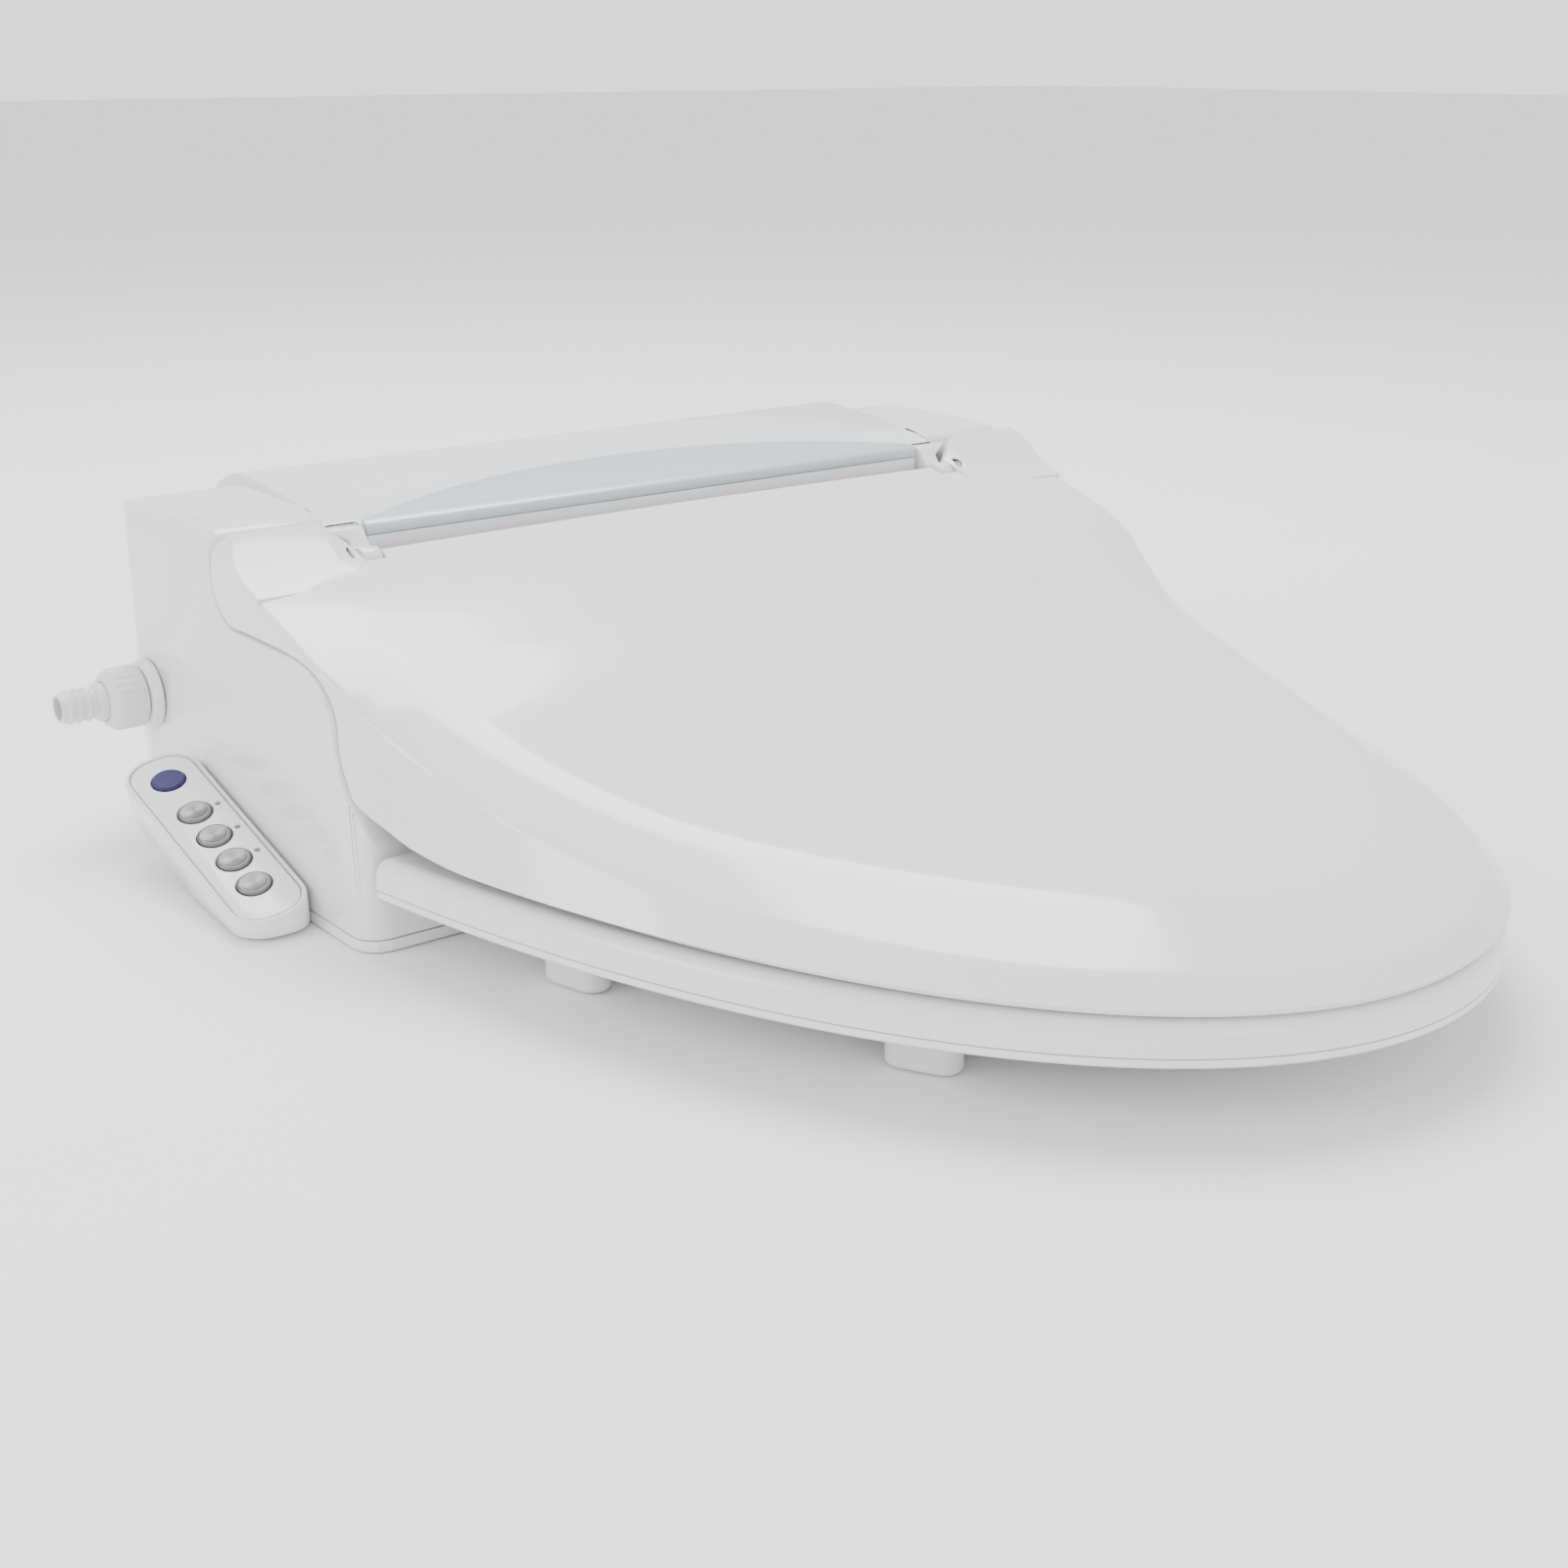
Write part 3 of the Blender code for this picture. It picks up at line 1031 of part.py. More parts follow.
def deodoriser():
    """The carbon cartridge that pulls out of the left-hand side."""
    joint = pivot("deodoriser_slide", (HALF_WIDTH, depth(FILTER_DEPTH + FILTER_LONG / 2), FILTER_LOW))
    low = (HALF_WIDTH - FILTER_WIDE, depth(FILTER_DEPTH + FILTER_LONG), FILTER_LOW)
    high = (HALF_WIDTH - 0.0004, depth(FILTER_DEPTH), FILTER_LOW + FILTER_HIGH)
    cartridge = piece("deodoriser_cartridge", box(low, high), "pale", joint)
    for n in range(4):
        y = depth(FILTER_DEPTH + 0.008 + n * 0.010)
        cut(cartridge, f"cartridge_slot_{n}", box((low[0] + 0.006, y - 0.003, FILTER_LOW - 0.01),
                                                  (high[0] - 0.008, y + 0.003, FILTER_LOW + 0.03)))


def build():
    clear_scene()
    cover = housing_cover()
    housing_openings(cover)
    screw_posts(cover)
    knuckles(cover)
    base_plate()
    case_screws()
    mounting_bracket()
    trim_plate()
    hinge_strip()
    hinge_pins()
    seat_joint = pivot("seat_hinge", HINGE_POINT)
    seat_base(seat_joint)
    seat_top(seat_joint)
    seat_heater(seat_joint)
    seat_bumpers(seat_joint)
    lid_joint = pivot("lid_hinge", HINGE_POINT)
    lid_shell(lid_joint)
    lid_buffers(lid_joint)
    soft_close_dampers(lid_joint)
    frame = pod_frame()
    pod_casing(frame)
    pod_panel(frame)
    pod_lights(frame)
    pod_buttons(frame)
    water_inlet()
    water_system()
    nozzle_unit(nozzle_frame())
    dryer(depth(HOUSING_DEPTH - RECESS_DEPTH))
    electrics()
    deodoriser()


build()
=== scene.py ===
"""Looks of an electric bidet seat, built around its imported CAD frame.

Heights are above the rim, and a depth is measured forward from the housing's rear face. All sizes are metres.
"""

from __future__ import annotations

import json
import logging
import math
from collections.abc import Callable, Sequence
from dataclasses import dataclass, field
from enum import Enum

import bmesh
import bpy
from mathutils import Matrix, Vector

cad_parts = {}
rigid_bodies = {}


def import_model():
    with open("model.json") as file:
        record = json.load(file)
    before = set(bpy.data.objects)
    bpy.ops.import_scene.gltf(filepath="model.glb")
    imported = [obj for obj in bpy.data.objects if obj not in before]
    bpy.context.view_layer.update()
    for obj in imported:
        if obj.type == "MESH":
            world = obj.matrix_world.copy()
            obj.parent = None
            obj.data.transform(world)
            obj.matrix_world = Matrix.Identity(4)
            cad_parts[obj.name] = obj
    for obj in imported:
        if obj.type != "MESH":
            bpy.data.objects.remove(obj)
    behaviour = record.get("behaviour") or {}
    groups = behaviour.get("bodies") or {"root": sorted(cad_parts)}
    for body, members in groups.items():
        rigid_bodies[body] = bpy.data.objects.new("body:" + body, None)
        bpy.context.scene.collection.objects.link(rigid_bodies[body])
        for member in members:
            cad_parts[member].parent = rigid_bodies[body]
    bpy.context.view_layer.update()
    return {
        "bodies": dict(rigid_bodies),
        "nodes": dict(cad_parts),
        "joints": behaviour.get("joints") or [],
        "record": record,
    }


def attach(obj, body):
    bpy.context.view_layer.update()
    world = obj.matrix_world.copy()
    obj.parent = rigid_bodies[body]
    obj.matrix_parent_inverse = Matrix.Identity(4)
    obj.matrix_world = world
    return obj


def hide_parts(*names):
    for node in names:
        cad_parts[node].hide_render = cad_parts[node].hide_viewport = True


LOG = logging.getLogger("bidet_seat")
Point2 = tuple[float, float]
Point3 = tuple[float, float, float]
Colour = tuple[float, float, float]
Profile = Sequence[Point2]

BOLT_DEPTH = 0.095
WALL = 0.003
GAP = 0.0003
PLAY = 0.0005


class Side(Enum):
    """The sitting user's two sides, as the sign of X."""

    RIGHT = -1
    LEFT = 1

    @property
    def word(self) -> str:
        """The side's name as the nodes spell it."""
        return self.name.lower()


class Axis(Enum):
    """The world axis that an outline is pushed along."""

    X = "X"
    Y = "Y"
    Z = "Z"


class Joining(Enum):
    """How a Boolean joins two solids."""

    CUT = "DIFFERENCE"
    ADD = "UNION"
    KEEP = "INTERSECT"


# ---- outlines --------------------------------------------------------------------------------------


def depth(back: float) -> float:
    """The world Y of a depth measured forward from the rear face."""
    return BOLT_DEPTH - back


def arc(centre: Point2, radius: float, start: float, end: float, steps: int = 14) -> list[Point2]:
    """Points on a circle, both ends included.

    Args:
        centre: The circle's middle.
        radius: Its radius.
        start: First angle in degrees.
        end: Last angle in degrees.
        steps: Number of segments.

    Returns:
        The points, one more than the segments.
    """
    angles = [math.radians(start + (end - start) * n / steps) for n in range(steps + 1)]
    return [(centre[0] + radius * math.cos(a), centre[1] + radius * math.sin(a)) for a in angles]


def bezier(p0: Point2, p1: Point2, p2: Point2, p3: Point2, steps: int) -> list[Point2]:
    """Points on a cubic curve.

    Args:
        p0: Start.
        p1: Handle of the start.
        p2: Handle of the end.
        p3: End.
        steps: Number of segments.

    Returns:
        The points, both ends included.
    """
    points = []
    for n in range(steps + 1):
        t = n / steps
        weights = ((1 - t) ** 3, 3 * t * (1 - t) ** 2, 3 * t * t * (1 - t), t**3)
        pairs = list(zip(weights, (p0, p1, p2, p3)))
        points.append((sum(w * p[0] for w, p in pairs), sum(w * p[1] for w, p in pairs)))
    return points


def rounded_box(low: Point2, high: Point2, radius: float, steps: int = 8) -> list[Point2]:
    """A rectangle with round corners, anticlockwise.

    Args:
        low: Lowest corner.
        high: Highest corner.
        radius: Corner radius.
        steps: Segments in each corner.

    Returns:
        The outline's points.
    """
    (x0, y0), (x1, y1) = low, high
    return (
        arc((x1 - radius, y0 + radius), radius, -90, 0, steps)
        + arc((x1 - radius, y1 - radius), radius, 0, 90, steps)
        + arc((x0 + radius, y1 - radius), radius, 90, 180, steps)
        + arc((x0 + radius, y0 + radius), radius, 180, 270, steps)
    )


def inset(points: Profile, distance: float) -> list[Point2]:
    """An anticlockwise outline moved inwards.

    Args:
        points: The outline.
        distance: How far it moves in; 0 keeps it.

    Returns:
        The moved outline, with mitred corners.
    """
    if distance == 0:
        return list(points)
    moved = []
    for n, point in enumerate(points):
        before = Vector(point) - Vector(points[n - 1])
        after = Vector(points[(n + 1) % len(points)]) - Vector(point)
        n1 = Vector((-before.y, before.x)).normalized()
        n2 = Vector((-after.y, after.x)).normalized()
        middle = (n1 + n2).normalized()
        moved.append(tuple(Vector(point) + middle * (distance / max(0.35, middle.dot(n1)))))
    return moved


def height_on(curve: Profile, place: float) -> float:
    """The height at a depth on a smooth curve.

    Args:
        curve: (depth, height) points, rising in depth.
        place: The depth asked for.

    Returns:
        The height, held level beyond the ends.
    """
    xs = [p[0] for p in curve]
    ys = [p[1] for p in curve]
    if place <= xs[0]:
        return ys[0]
    if place >= xs[-1]:
        return ys[-1]
    k = max(n for n in range(len(xs) - 1) if xs[n] <= place)
    slopes = [(ys[n + 1] - ys[n]) / (xs[n + 1] - xs[n]) for n in range(len(xs) - 1)]

    def tangent(n: int) -> float:
        """The slope at a point, level where the curve turns back.

        Args:
            n: The point's place in the list.

        Returns:
            The slope.
        """
        if n in (0, len(xs) - 1):
            return slopes[min(n, len(slopes) - 1)]
        a, b = slopes[n - 1], slopes[n]
        return 0.0 if a * b <= 0 else 2 * a * b / (a + b)

    span = xs[k + 1] - xs[k]
    t = (place - xs[k]) / span
    return (
        (2 * t**3 - 3 * t**2 + 1) * ys[k]
        + (t**3 - 2 * t**2 + t) * span * tangent(k)
        + (3 * t**2 - 2 * t**3) * ys[k + 1]
        + (t**3 - t**2) * span * tangent(k + 1)
    )


def softened(points: Sequence[Vector], cuts: Sequence[float], steps: int = 4) -> list[Vector]:
    """A path whose inner corners are rounded.

    Args:
        points: The path's corners.
        cuts: How far from each inner corner its curve starts.
        steps: Segments in each curve.

    Returns:
        The rounded path; its length depends only on the number of corners.
    """
    path = [points[0].copy()]
    for n in range(1, len(points) - 1):
        back, here, ahead = points[n - 1], points[n], points[n + 1]
        into, out = back - here, ahead - here
        a = here + into * min(0.45, cuts[n - 1] / max(into.length, 1e-9))
        b = here + out * min(0.45, cuts[n - 1] / max(out.length, 1e-9))
        for k in range(steps + 1):
            t = k / steps
            path.append(a * (1 - t) ** 2 + here * 2 * t * (1 - t) + b * t * t)
    path.append(points[-1].copy())
    return path


def smooth_step(value: float) -> float:
    """0 below 0, 1 above 1, and a soft S between them."""
    t = min(1.0, max(0.0, value))
    return t * t * (3 - 2 * t)


# ---- solids ----------------------------------------------------------------------------------------


def prism(points: Profile, axis: Axis, low: float, high: float) -> bmesh.types.BMesh:
    """An outline pushed along an axis.

    Args:
        points: (y, z) points for X, (x, z) for Y, (x, y) for Z.
        axis: The axis.
        low: Where the solid starts.
        high: Where it ends.

    Returns:
        The solid.
    """
    bm = bmesh.new()
    order: dict[Axis, Callable[[Point2, float], Point3]] = {
        Axis.X: lambda p, h: (h, p[0], p[1]),
        Axis.Y: lambda p, h: (p[0], h, p[1]),
        Axis.Z: lambda p, h: (p[0], p[1], h),
    }
    place = order[axis]
    bottom = [bm.verts.new(place(p, low)) for p in points]
    top = [bm.verts.new(place(p, high)) for p in points]
    bm.faces.new(bottom)
    bm.faces.new(top)
    for n in range(len(points)):
        m = (n + 1) % len(points)
        bm.faces.new((bottom[n], bottom[m], top[m], top[n]))
    return bm


def block(low: Point3, high: Point3) -> bmesh.types.BMesh:
    """A plain box, used only as a cutter."""
    corners = [(low[0], low[1]), (high[0], low[1]), (high[0], high[1]), (low[0], high[1])]
    return prism(corners, Axis.Z, low[2], high[2])


def lofted(loops: Sequence[Sequence[Point3 | Vector]], closed: bool = False) -> bmesh.types.BMesh:
    """A solid through rings of points.

    Args:
        loops: The rings, all of one length.
        closed: True joins the last ring to the first; else the ends are capped.

    Returns:
        The solid.
    """
    bm = bmesh.new()
    made = [[bm.verts.new(p) for p in loop] for loop in loops]
    pairs = list(zip(made, made[1:])) + ([(made[-1], made[0])] if closed else [])
    for a, b in pairs:
        for n in range(len(a)):
            m = (n + 1) % len(a)
            bm.faces.new((a[n], a[m], b[m], b[n]))
    if not closed:
        bm.faces.new(made[0])
        bm.faces.new(made[-1])
    return bm


def turned(
    profile: Profile, place: Point3 | Vector, direction: Point3, sides: int = 64, closed: bool = False
) -> bmesh.types.BMesh:
    """A profile turned about an axis.

    Args:
        profile: (radius, height) points.
        place: Where the axis starts.
        direction: The way that heights run.
        sides: Segments round the axis.
        closed: True for a ring, whose profile comes back to its start.

    Returns:
        The solid.
    """
    turn = Vector((0, 0, 1)).rotation_difference(Vector(direction)).to_matrix().to_4x4()
    frame = Matrix.Translation(place) @ turn
    loops = []
    for radius, height in profile:
        angles = [2 * math.pi * n / sides for n in range(sides)]
        loops.append([frame @ Vector((radius * math.cos(a), radius * math.sin(a), height)) for a in angles])
    return lofted(loops, closed)


def cylinder(radius: float, start: Point3, end: Point3, sides: int = 48) -> bmesh.types.BMesh:
    """A round bar between two points, used as a cutter."""
    way = Vector(end) - Vector(start)
    return turned(((radius, 0.0), (radius, way.length)), start, tuple(way), sides)


def placed(bm: bmesh.types.BMesh, frame: Matrix) -> bmesh.types.BMesh:
    """The same solid, moved by a matrix."""
    bm.transform(frame)
    return bm


@dataclass
class Maker:
    """Turns solids into objects and joins them."""

    careful: bool = False

    def make(self, name: str, bm: bmesh.types.BMesh) -> bpy.types.Object:
        """Makes an object of a solid.

        Args:
            name: The object's name.
            bm: The solid, freed here.

        Returns:
            The object, in world coordinates.
        """
        bmesh.ops.recalc_face_normals(bm, faces=bm.faces)
        mesh = bpy.data.meshes.new(name)
        bm.to_mesh(mesh)
        bm.free()
        item = bpy.data.objects.new(name, mesh)
        bpy.context.scene.collection.objects.link(item)
        return item

    def join(self, target: bpy.types.Object, other: bmesh.types.BMesh, how: Joining) -> bpy.types.Object:
        """Joins a solid to an object by a Boolean, applied at once.

        Args:
            target: The object that changes.
            other: The solid.
            how: Whether it cuts, adds or keeps.

        Returns:
            The target.
        """
        helper = self.make("joining_helper", other)
        self.join_object(target, helper, how)
        bpy.data.meshes.remove(helper.data)
        return target

    def join_object(self, target: bpy.types.Object, other: bpy.types.Object, how: Joining) -> None:
        """Joins one object to another by a Boolean, applied at once.

        Args:
            target: The object that changes.
            other: The object that it is joined to.
            how: Whether it cuts, adds or keeps.
        """
        modifier = target.modifiers.new("joining", "BOOLEAN")
        modifier.operation = how.value
        modifier.solver = "EXACT"
        modifier.use_self = self.careful
        modifier.object = other
        self.bake(target)

    def bake(self, item: bpy.types.Object) -> bpy.types.Object:
        """Applies an object's modifiers.

        Args:
            item: The object.

        Returns:
            The same object, with its mesh as the modifiers left it.
        """
        bpy.context.view_layer.update()
        graph = bpy.context.evaluated_depsgraph_get()
        mesh = bpy.data.meshes.new_from_object(item.evaluated_get(graph))
        item.modifiers.clear()
        old = item.data
        item.data = mesh
        bpy.data.meshes.remove(old)
        mesh.name = item.name
        return item

    def soften(
        self, item: bpy.types.Object, width: float, angle: float = 38.0, segments: int = 3, clamp: bool = True
    ) -> bpy.types.Object:
        """Rounds an object's sharp edges by a real bevel.

        Args:
            item: The object.
            width: The bevel's width.
            angle: Edges sharper than this many degrees are rounded.
            segments: Faces across the round.
            clamp: Whether neighbouring bevels stop short of each other.

        Returns:
            The object.
        """
        bm = bmesh.new()
        bm.from_mesh(item.data)
        bmesh.ops.remove_doubles(bm, verts=bm.verts, dist=0.00004)
        bmesh.ops.dissolve_degenerate(bm, edges=bm.edges, dist=0.00004)
        bm.to_mesh(item.data)
        bm.free()
        modifier = item.modifiers.new("soft_edges", "BEVEL")
        modifier.width = width
        modifier.segments = segments
        modifier.limit_method = "ANGLE"
        modifier.angle_limit = math.radians(angle)
        modifier.use_clamp_overlap = clamp
        modifier.miter_outer = "MITER_ARC"
        return self.bake(item)

    def dress(
        self, item: bpy.types.Object, finish: Finish, body: str, replaces: str = "", smooth: float = 32.0
    ) -> bpy.types.Object:
        """Gives an object its finish, its shading and the body that it rides on.

        Args:
            item: The object.
            finish: Its finish.
            body: The CAD body that it rides on.
            replaces: The CAD node that it stands for, if any.
            smooth: Edges sharper than this many degrees stay sharp.

        Returns:
            The object.
        """
        item.data.materials.clear()
        item.data.materials.append(finish.material())
        item.data.shade_smooth()
        item.data.set_sharp_from_angle(angle=math.radians(smooth))
        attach(item, body)
        if replaces:
            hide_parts(replaces)
        LOG.info("%s: %d faces on %s", item.name, len(item.data.polygons), body)
        return item


# ---- finishes --------------------------------------------------------------------------------------


@dataclass(frozen=True)
class Finish:
    """What every finish has: a colour, how far it varies, its gloss, and its fine relief."""

    name: str
    slot: str
    colour: Colour
    roughness: float = 0.2
    rough_spread: float = 0.06
    tone_spread: float = 0.02
    grain_size: float = 0.0012
    grain_height: float = 0.000006
    metallic: float = 0.0
    coat: float = 0.0
    coat_roughness: float = 0.05
    edge_round: float = 0.0006

    def material(self) -> bpy.types.Material:
        """The node material, made once.

        Returns:
            The material.
        """
        found = bpy.data.materials.get(self.name)
        if found:
            return found
        made = bpy.data.materials.new(self.name)
        made.use_nodes = True
        tree = made.node_tree
        shader = tree.nodes["Principled BSDF"]
        shader.inputs["Metallic"].default_value = self.metallic
        shader.inputs["Coat Weight"].default_value = self.coat
        shader.inputs["Coat Roughness"].default_value = self.coat_roughness
        place = tree.nodes.new("ShaderNodeTexCoord").outputs["Object"]
        self.tone(tree, shader, place)
        self.gloss(tree, shader, place)
        self.relief(tree, shader, place)
        self.extra(shader)
        return made

    def noise(
        self, tree: bpy.types.NodeTree, place: bpy.types.NodeSocket, size: float, detail: float = 3.0
    ) -> bpy.types.NodeSocket:
        """A noise whose marks are about a size across.

        Args:
            tree: The material's nodes.
            place: The coordinates.
            size: The marks' size in metres.
            detail: Octaves.

        Returns:
            The noise's grey output.
        """
        node = tree.nodes.new("ShaderNodeTexNoise")
        node.inputs["Scale"].default_value = 1.0 / size
        node.inputs["Detail"].default_value = detail
        tree.links.new(place, node.inputs["Vector"])
        return node.outputs["Fac"]

    def spread(
        self, tree: bpy.types.NodeTree, grey: bpy.types.NodeSocket, low: float, high: float
    ) -> bpy.types.NodeSocket:
        """A noise's output stretched to a range.

        Args:
            tree: The material's nodes.
            grey: The noise.
            low: What dark marks become.
            high: What light marks become.

        Returns:
            The stretched value.
        """
        node = tree.nodes.new("ShaderNodeMapRange")
        node.inputs["From Min"].default_value = 0.3
        node.inputs["From Max"].default_value = 0.7
        node.inputs["To Min"].default_value = low
        node.inputs["To Max"].default_value = high
        tree.links.new(grey, node.inputs["Value"])
        return node.outputs["Result"]

    def tone(
        self, tree: bpy.types.NodeTree, shader: bpy.types.Node, place: bpy.types.NodeSocket
    ) -> None:
        """Colours the surface, with a faint drift over it.

        Args:
            tree: The material's nodes.
            shader: Its main shader.
            place: Where on the piece a point is.
        """
        ramp = tree.nodes.new("ShaderNodeValToRGB")
        low = [c * (1.0 - self.tone_spread) for c in self.colour]
        high = [min(1.0, c * (1.0 + self.tone_spread)) for c in self.colour]
        ramp.color_ramp.elements[0].position = 0.30
        ramp.color_ramp.elements[0].color = (*low, 1.0)
        ramp.color_ramp.elements[1].position = 0.72
        ramp.color_ramp.elements[1].color = (*high, 1.0)
        tree.links.new(self.noise(tree, place, 0.055, 2.0), ramp.inputs["Fac"])
        tree.links.new(ramp.outputs["Color"], shader.inputs["Base Color"])

    def gloss(
        self, tree: bpy.types.NodeTree, shader: bpy.types.Node, place: bpy.types.NodeSocket
    ) -> None:
        """Sets the roughness, a little uneven as on a handled surface.

        Args:
            tree: The material's nodes.
            shader: Its main shader.
            place: Where on the piece a point is.
        """
        grey = self.noise(tree, place, 0.018, 4.0)
        low, high = max(0.03, self.roughness - self.rough_spread), self.roughness + self.rough_spread
        tree.links.new(self.spread(tree, grey, low, high), shader.inputs["Roughness"])

    def relief(
        self, tree: bpy.types.NodeTree, shader: bpy.types.Node, place: bpy.types.NodeSocket
    ) -> None:
        """Adds the fine relief of the moulding, over edges that catch the light.

        Args:
            tree: The material's nodes.
            shader: Its main shader.
            place: Where on the piece a point is.
        """
        bump = tree.nodes.new("ShaderNodeBump")
        bump.inputs["Strength"].default_value = 1.0
        bump.inputs["Distance"].default_value = self.grain_height
        tree.links.new(self.grain(tree, place), bump.inputs["Height"])
        if self.edge_round > 0:
            soft = tree.nodes.new("ShaderNodeBevel")
            soft.samples = 4
            soft.inputs["Radius"].default_value = self.edge_round
            tree.links.new(soft.outputs["Normal"], bump.inputs["Normal"])
        tree.links.new(bump.outputs["Normal"], shader.inputs["Normal"])

    def grain(self, tree: bpy.types.NodeTree, place: bpy.types.NodeSocket) -> bpy.types.NodeSocket:
        """The relief's height."""
        return self.noise(tree, place, self.grain_size)

    def extra(self, shader: bpy.types.Node) -> None:
        """Settings that only one finish has."""


@dataclass(frozen=True)
class SpunMetal(Finish):
    """Metal turned on a lathe: fine rings about the piece's own Z axis."""

    def grain(self, tree: bpy.types.NodeTree, place: bpy.types.NodeSocket) -> bpy.types.NodeSocket:
        """Rings that depend only on the distance from the axis.

        Args:
            tree: The material's nodes.
            place: Where on the piece a point is.

        Returns:
            The height of the grain.
        """
        flat = tree.nodes.new("ShaderNodeVectorMath")
        flat.operation = "MULTIPLY"
        flat.inputs[1].default_value = (1.0, 1.0, 0.0)
        tree.links.new(place, flat.inputs[0])
        reach = tree.nodes.new("ShaderNodeVectorMath")
        reach.operation = "LENGTH"
        tree.links.new(flat.outputs["Vector"], reach.inputs[0])
        line = tree.nodes.new("ShaderNodeCombineXYZ")
        tree.links.new(reach.outputs["Value"], line.inputs["X"])
        return self.noise(tree, line.outputs["Vector"], self.grain_size, 2.0)

    def extra(self, shader: bpy.types.Node) -> None:
        """Light spread across the rings, as spun metal shows it.

        Args:
            shader: The material's main shader.
        """
        shader.inputs["Anisotropic"].default_value = 0.85
        tangent = shader.id_data.nodes.new("ShaderNodeTangent")
        tangent.direction_type = "RADIAL"
        tangent.axis = "Z"
        shader.id_data.links.new(tangent.outputs["Tangent"], shader.inputs["Tangent"])


@dataclass(frozen=True)
class ClearPlastic(Finish):
    """A clear moulding that lets light through."""

    see_through: float = 0.6

    def extra(self, shader: bpy.types.Node) -> None:
        """Lets light into the piece."""
        shader.inputs["Transmission Weight"].default_value = self.see_through
        shader.inputs["IOR"].default_value = 1.49


@dataclass(frozen=True)
class Woven(Finish):
    """A board or foil with fine lines laid across it."""

    line_pitch: float = 0.0012

    def grain(self, tree: bpy.types.NodeTree, place: bpy.types.NodeSocket) -> bpy.types.NodeSocket:
        """Parallel tracks, a little wandering.

        Args:
            tree: The material's nodes.
            place: Where on the piece a point is.

        Returns:
            The height of the grain.
        """
        node = tree.nodes.new("ShaderNodeTexWave")
        node.inputs["Scale"].default_value = 0.35 / self.line_pitch
        node.inputs["Distortion"].default_value = 1.2
        tree.links.new(place, node.inputs["Vector"])
        return node.outputs["Fac"]


WHITE = Finish("glossy_white_shell", "white_gloss", (0.80, 0.805, 0.81), 0.17, 0.035, 0.006, coat=0.25)
WHITE_SATIN = Finish("satin_white_seat", "white_gloss", (0.79, 0.795, 0.80), 0.22, 0.05, 0.006, coat=0.2)
PALE = Finish("pale_moulding", "pale_plastic", (0.70, 0.71, 0.72), 0.38, 0.06, 0.015, 0.0006, 0.000012)
SILVER = Finish(
    "silver_paint", "silver_paint", (0.215, 0.285, 0.325), 0.40, 0.04, 0.02, 0.00035, 0.000012,
    metallic=0.60, coat=0.10, coat_roughness=0.10,
)
STEEL = Finish("drawn_steel", "steel", (0.60, 0.60, 0.59), 0.26, 0.06, 0.02, 0.0003, 0.000004, 1.0)
SPUN = SpunMetal("spun_button_metal", "steel", (0.20, 0.195, 0.19), 0.30, 0.04, 0.02, 0.00022, 0.000016, 1.0)
INDIGO = Finish("indigo_button", "indigo_plastic", (0.012, 0.006, 0.09), 0.55, 0.04, 0.05, 0.0006, 0.00001)
LENS = ClearPlastic("light_peg", "clear_lens", (0.42, 0.55, 0.50), 0.12, 0.03, 0.02)
RUBBER = Finish("soft_rubber", "soft_rubber", (0.66, 0.67, 0.68), 0.62, 0.08, 0.03, 0.0008, 0.00003)
DARK = Finish("dark_moulding", "dark_plastic", (0.035, 0.035, 0.04), 0.5, 0.08, 0.05, 0.0006, 0.00003)
BOARD = Woven("circuit_board", "circuit_board", (0.015, 0.12, 0.05), 0.35, 0.06, 0.12, 0.001, 0.00002)
FOIL = Woven("heating_foil", "heating_foil", (0.62, 0.38, 0.18), 0.32, 0.06, 0.06, 0.001, 0.00004, 0.7)


# ---- housing ---------------------------------------------------------------------------------------


@dataclass
class Hinge:
    """The line that the seat and the lid share."""

    back: float = 0.131
    height: float = 0.1155
    ear_radius: float = 0.017
    ear_gap: float = 0.0013
    ear_inner: float = 0.1468
    knuckle_radius: float = 0.0058
    knuckle_inner: float = 0.1378
    knuckle_outer: float = 0.1455
    hub_radius: float = 0.0055
    hub_gap: float = 0.0010
    arm_inner: float = 0.1505
    arm_outer: float = 0.1625
    pin_radius: float = 0.0026
    damper_radius: float = 0.0056
    arm_lower: Profile = ((0.1320, 0.1101), (0.1740, 0.0790), (0.2055, 0.0520), (0.2197, 0.0355))
    arm_upper: Profile = ((0.2215, 0.0480), (0.1790, 0.0915), (0.1660, 0.1020), (0.1500, 0.1078))

    @property
    def y(self) -> float:
        """The line's world Y."""
        return depth(self.back)

    @property
    def ear_floor(self) -> float:
        """The height of the housing under the lid's ears."""
        return self.height - self.ear_radius - self.ear_gap

    def circle(self, radius: float, start: float, end: float, steps: int = 20) -> list[Point2]:
        """Points (y, z) round the line; 0 degrees is the rear and 90 the top."""
        return arc((self.y, self.height), radius, start, end, steps)

    def at(self, x: float) -> Point3:
        """The point of the line at an X."""
        return (x, self.y, self.height)


@dataclass(frozen=True)
class Opening:
    """A square opening in a wall, by two corners given as (along the wall, height)."""

    low: Point2
    high: Point2


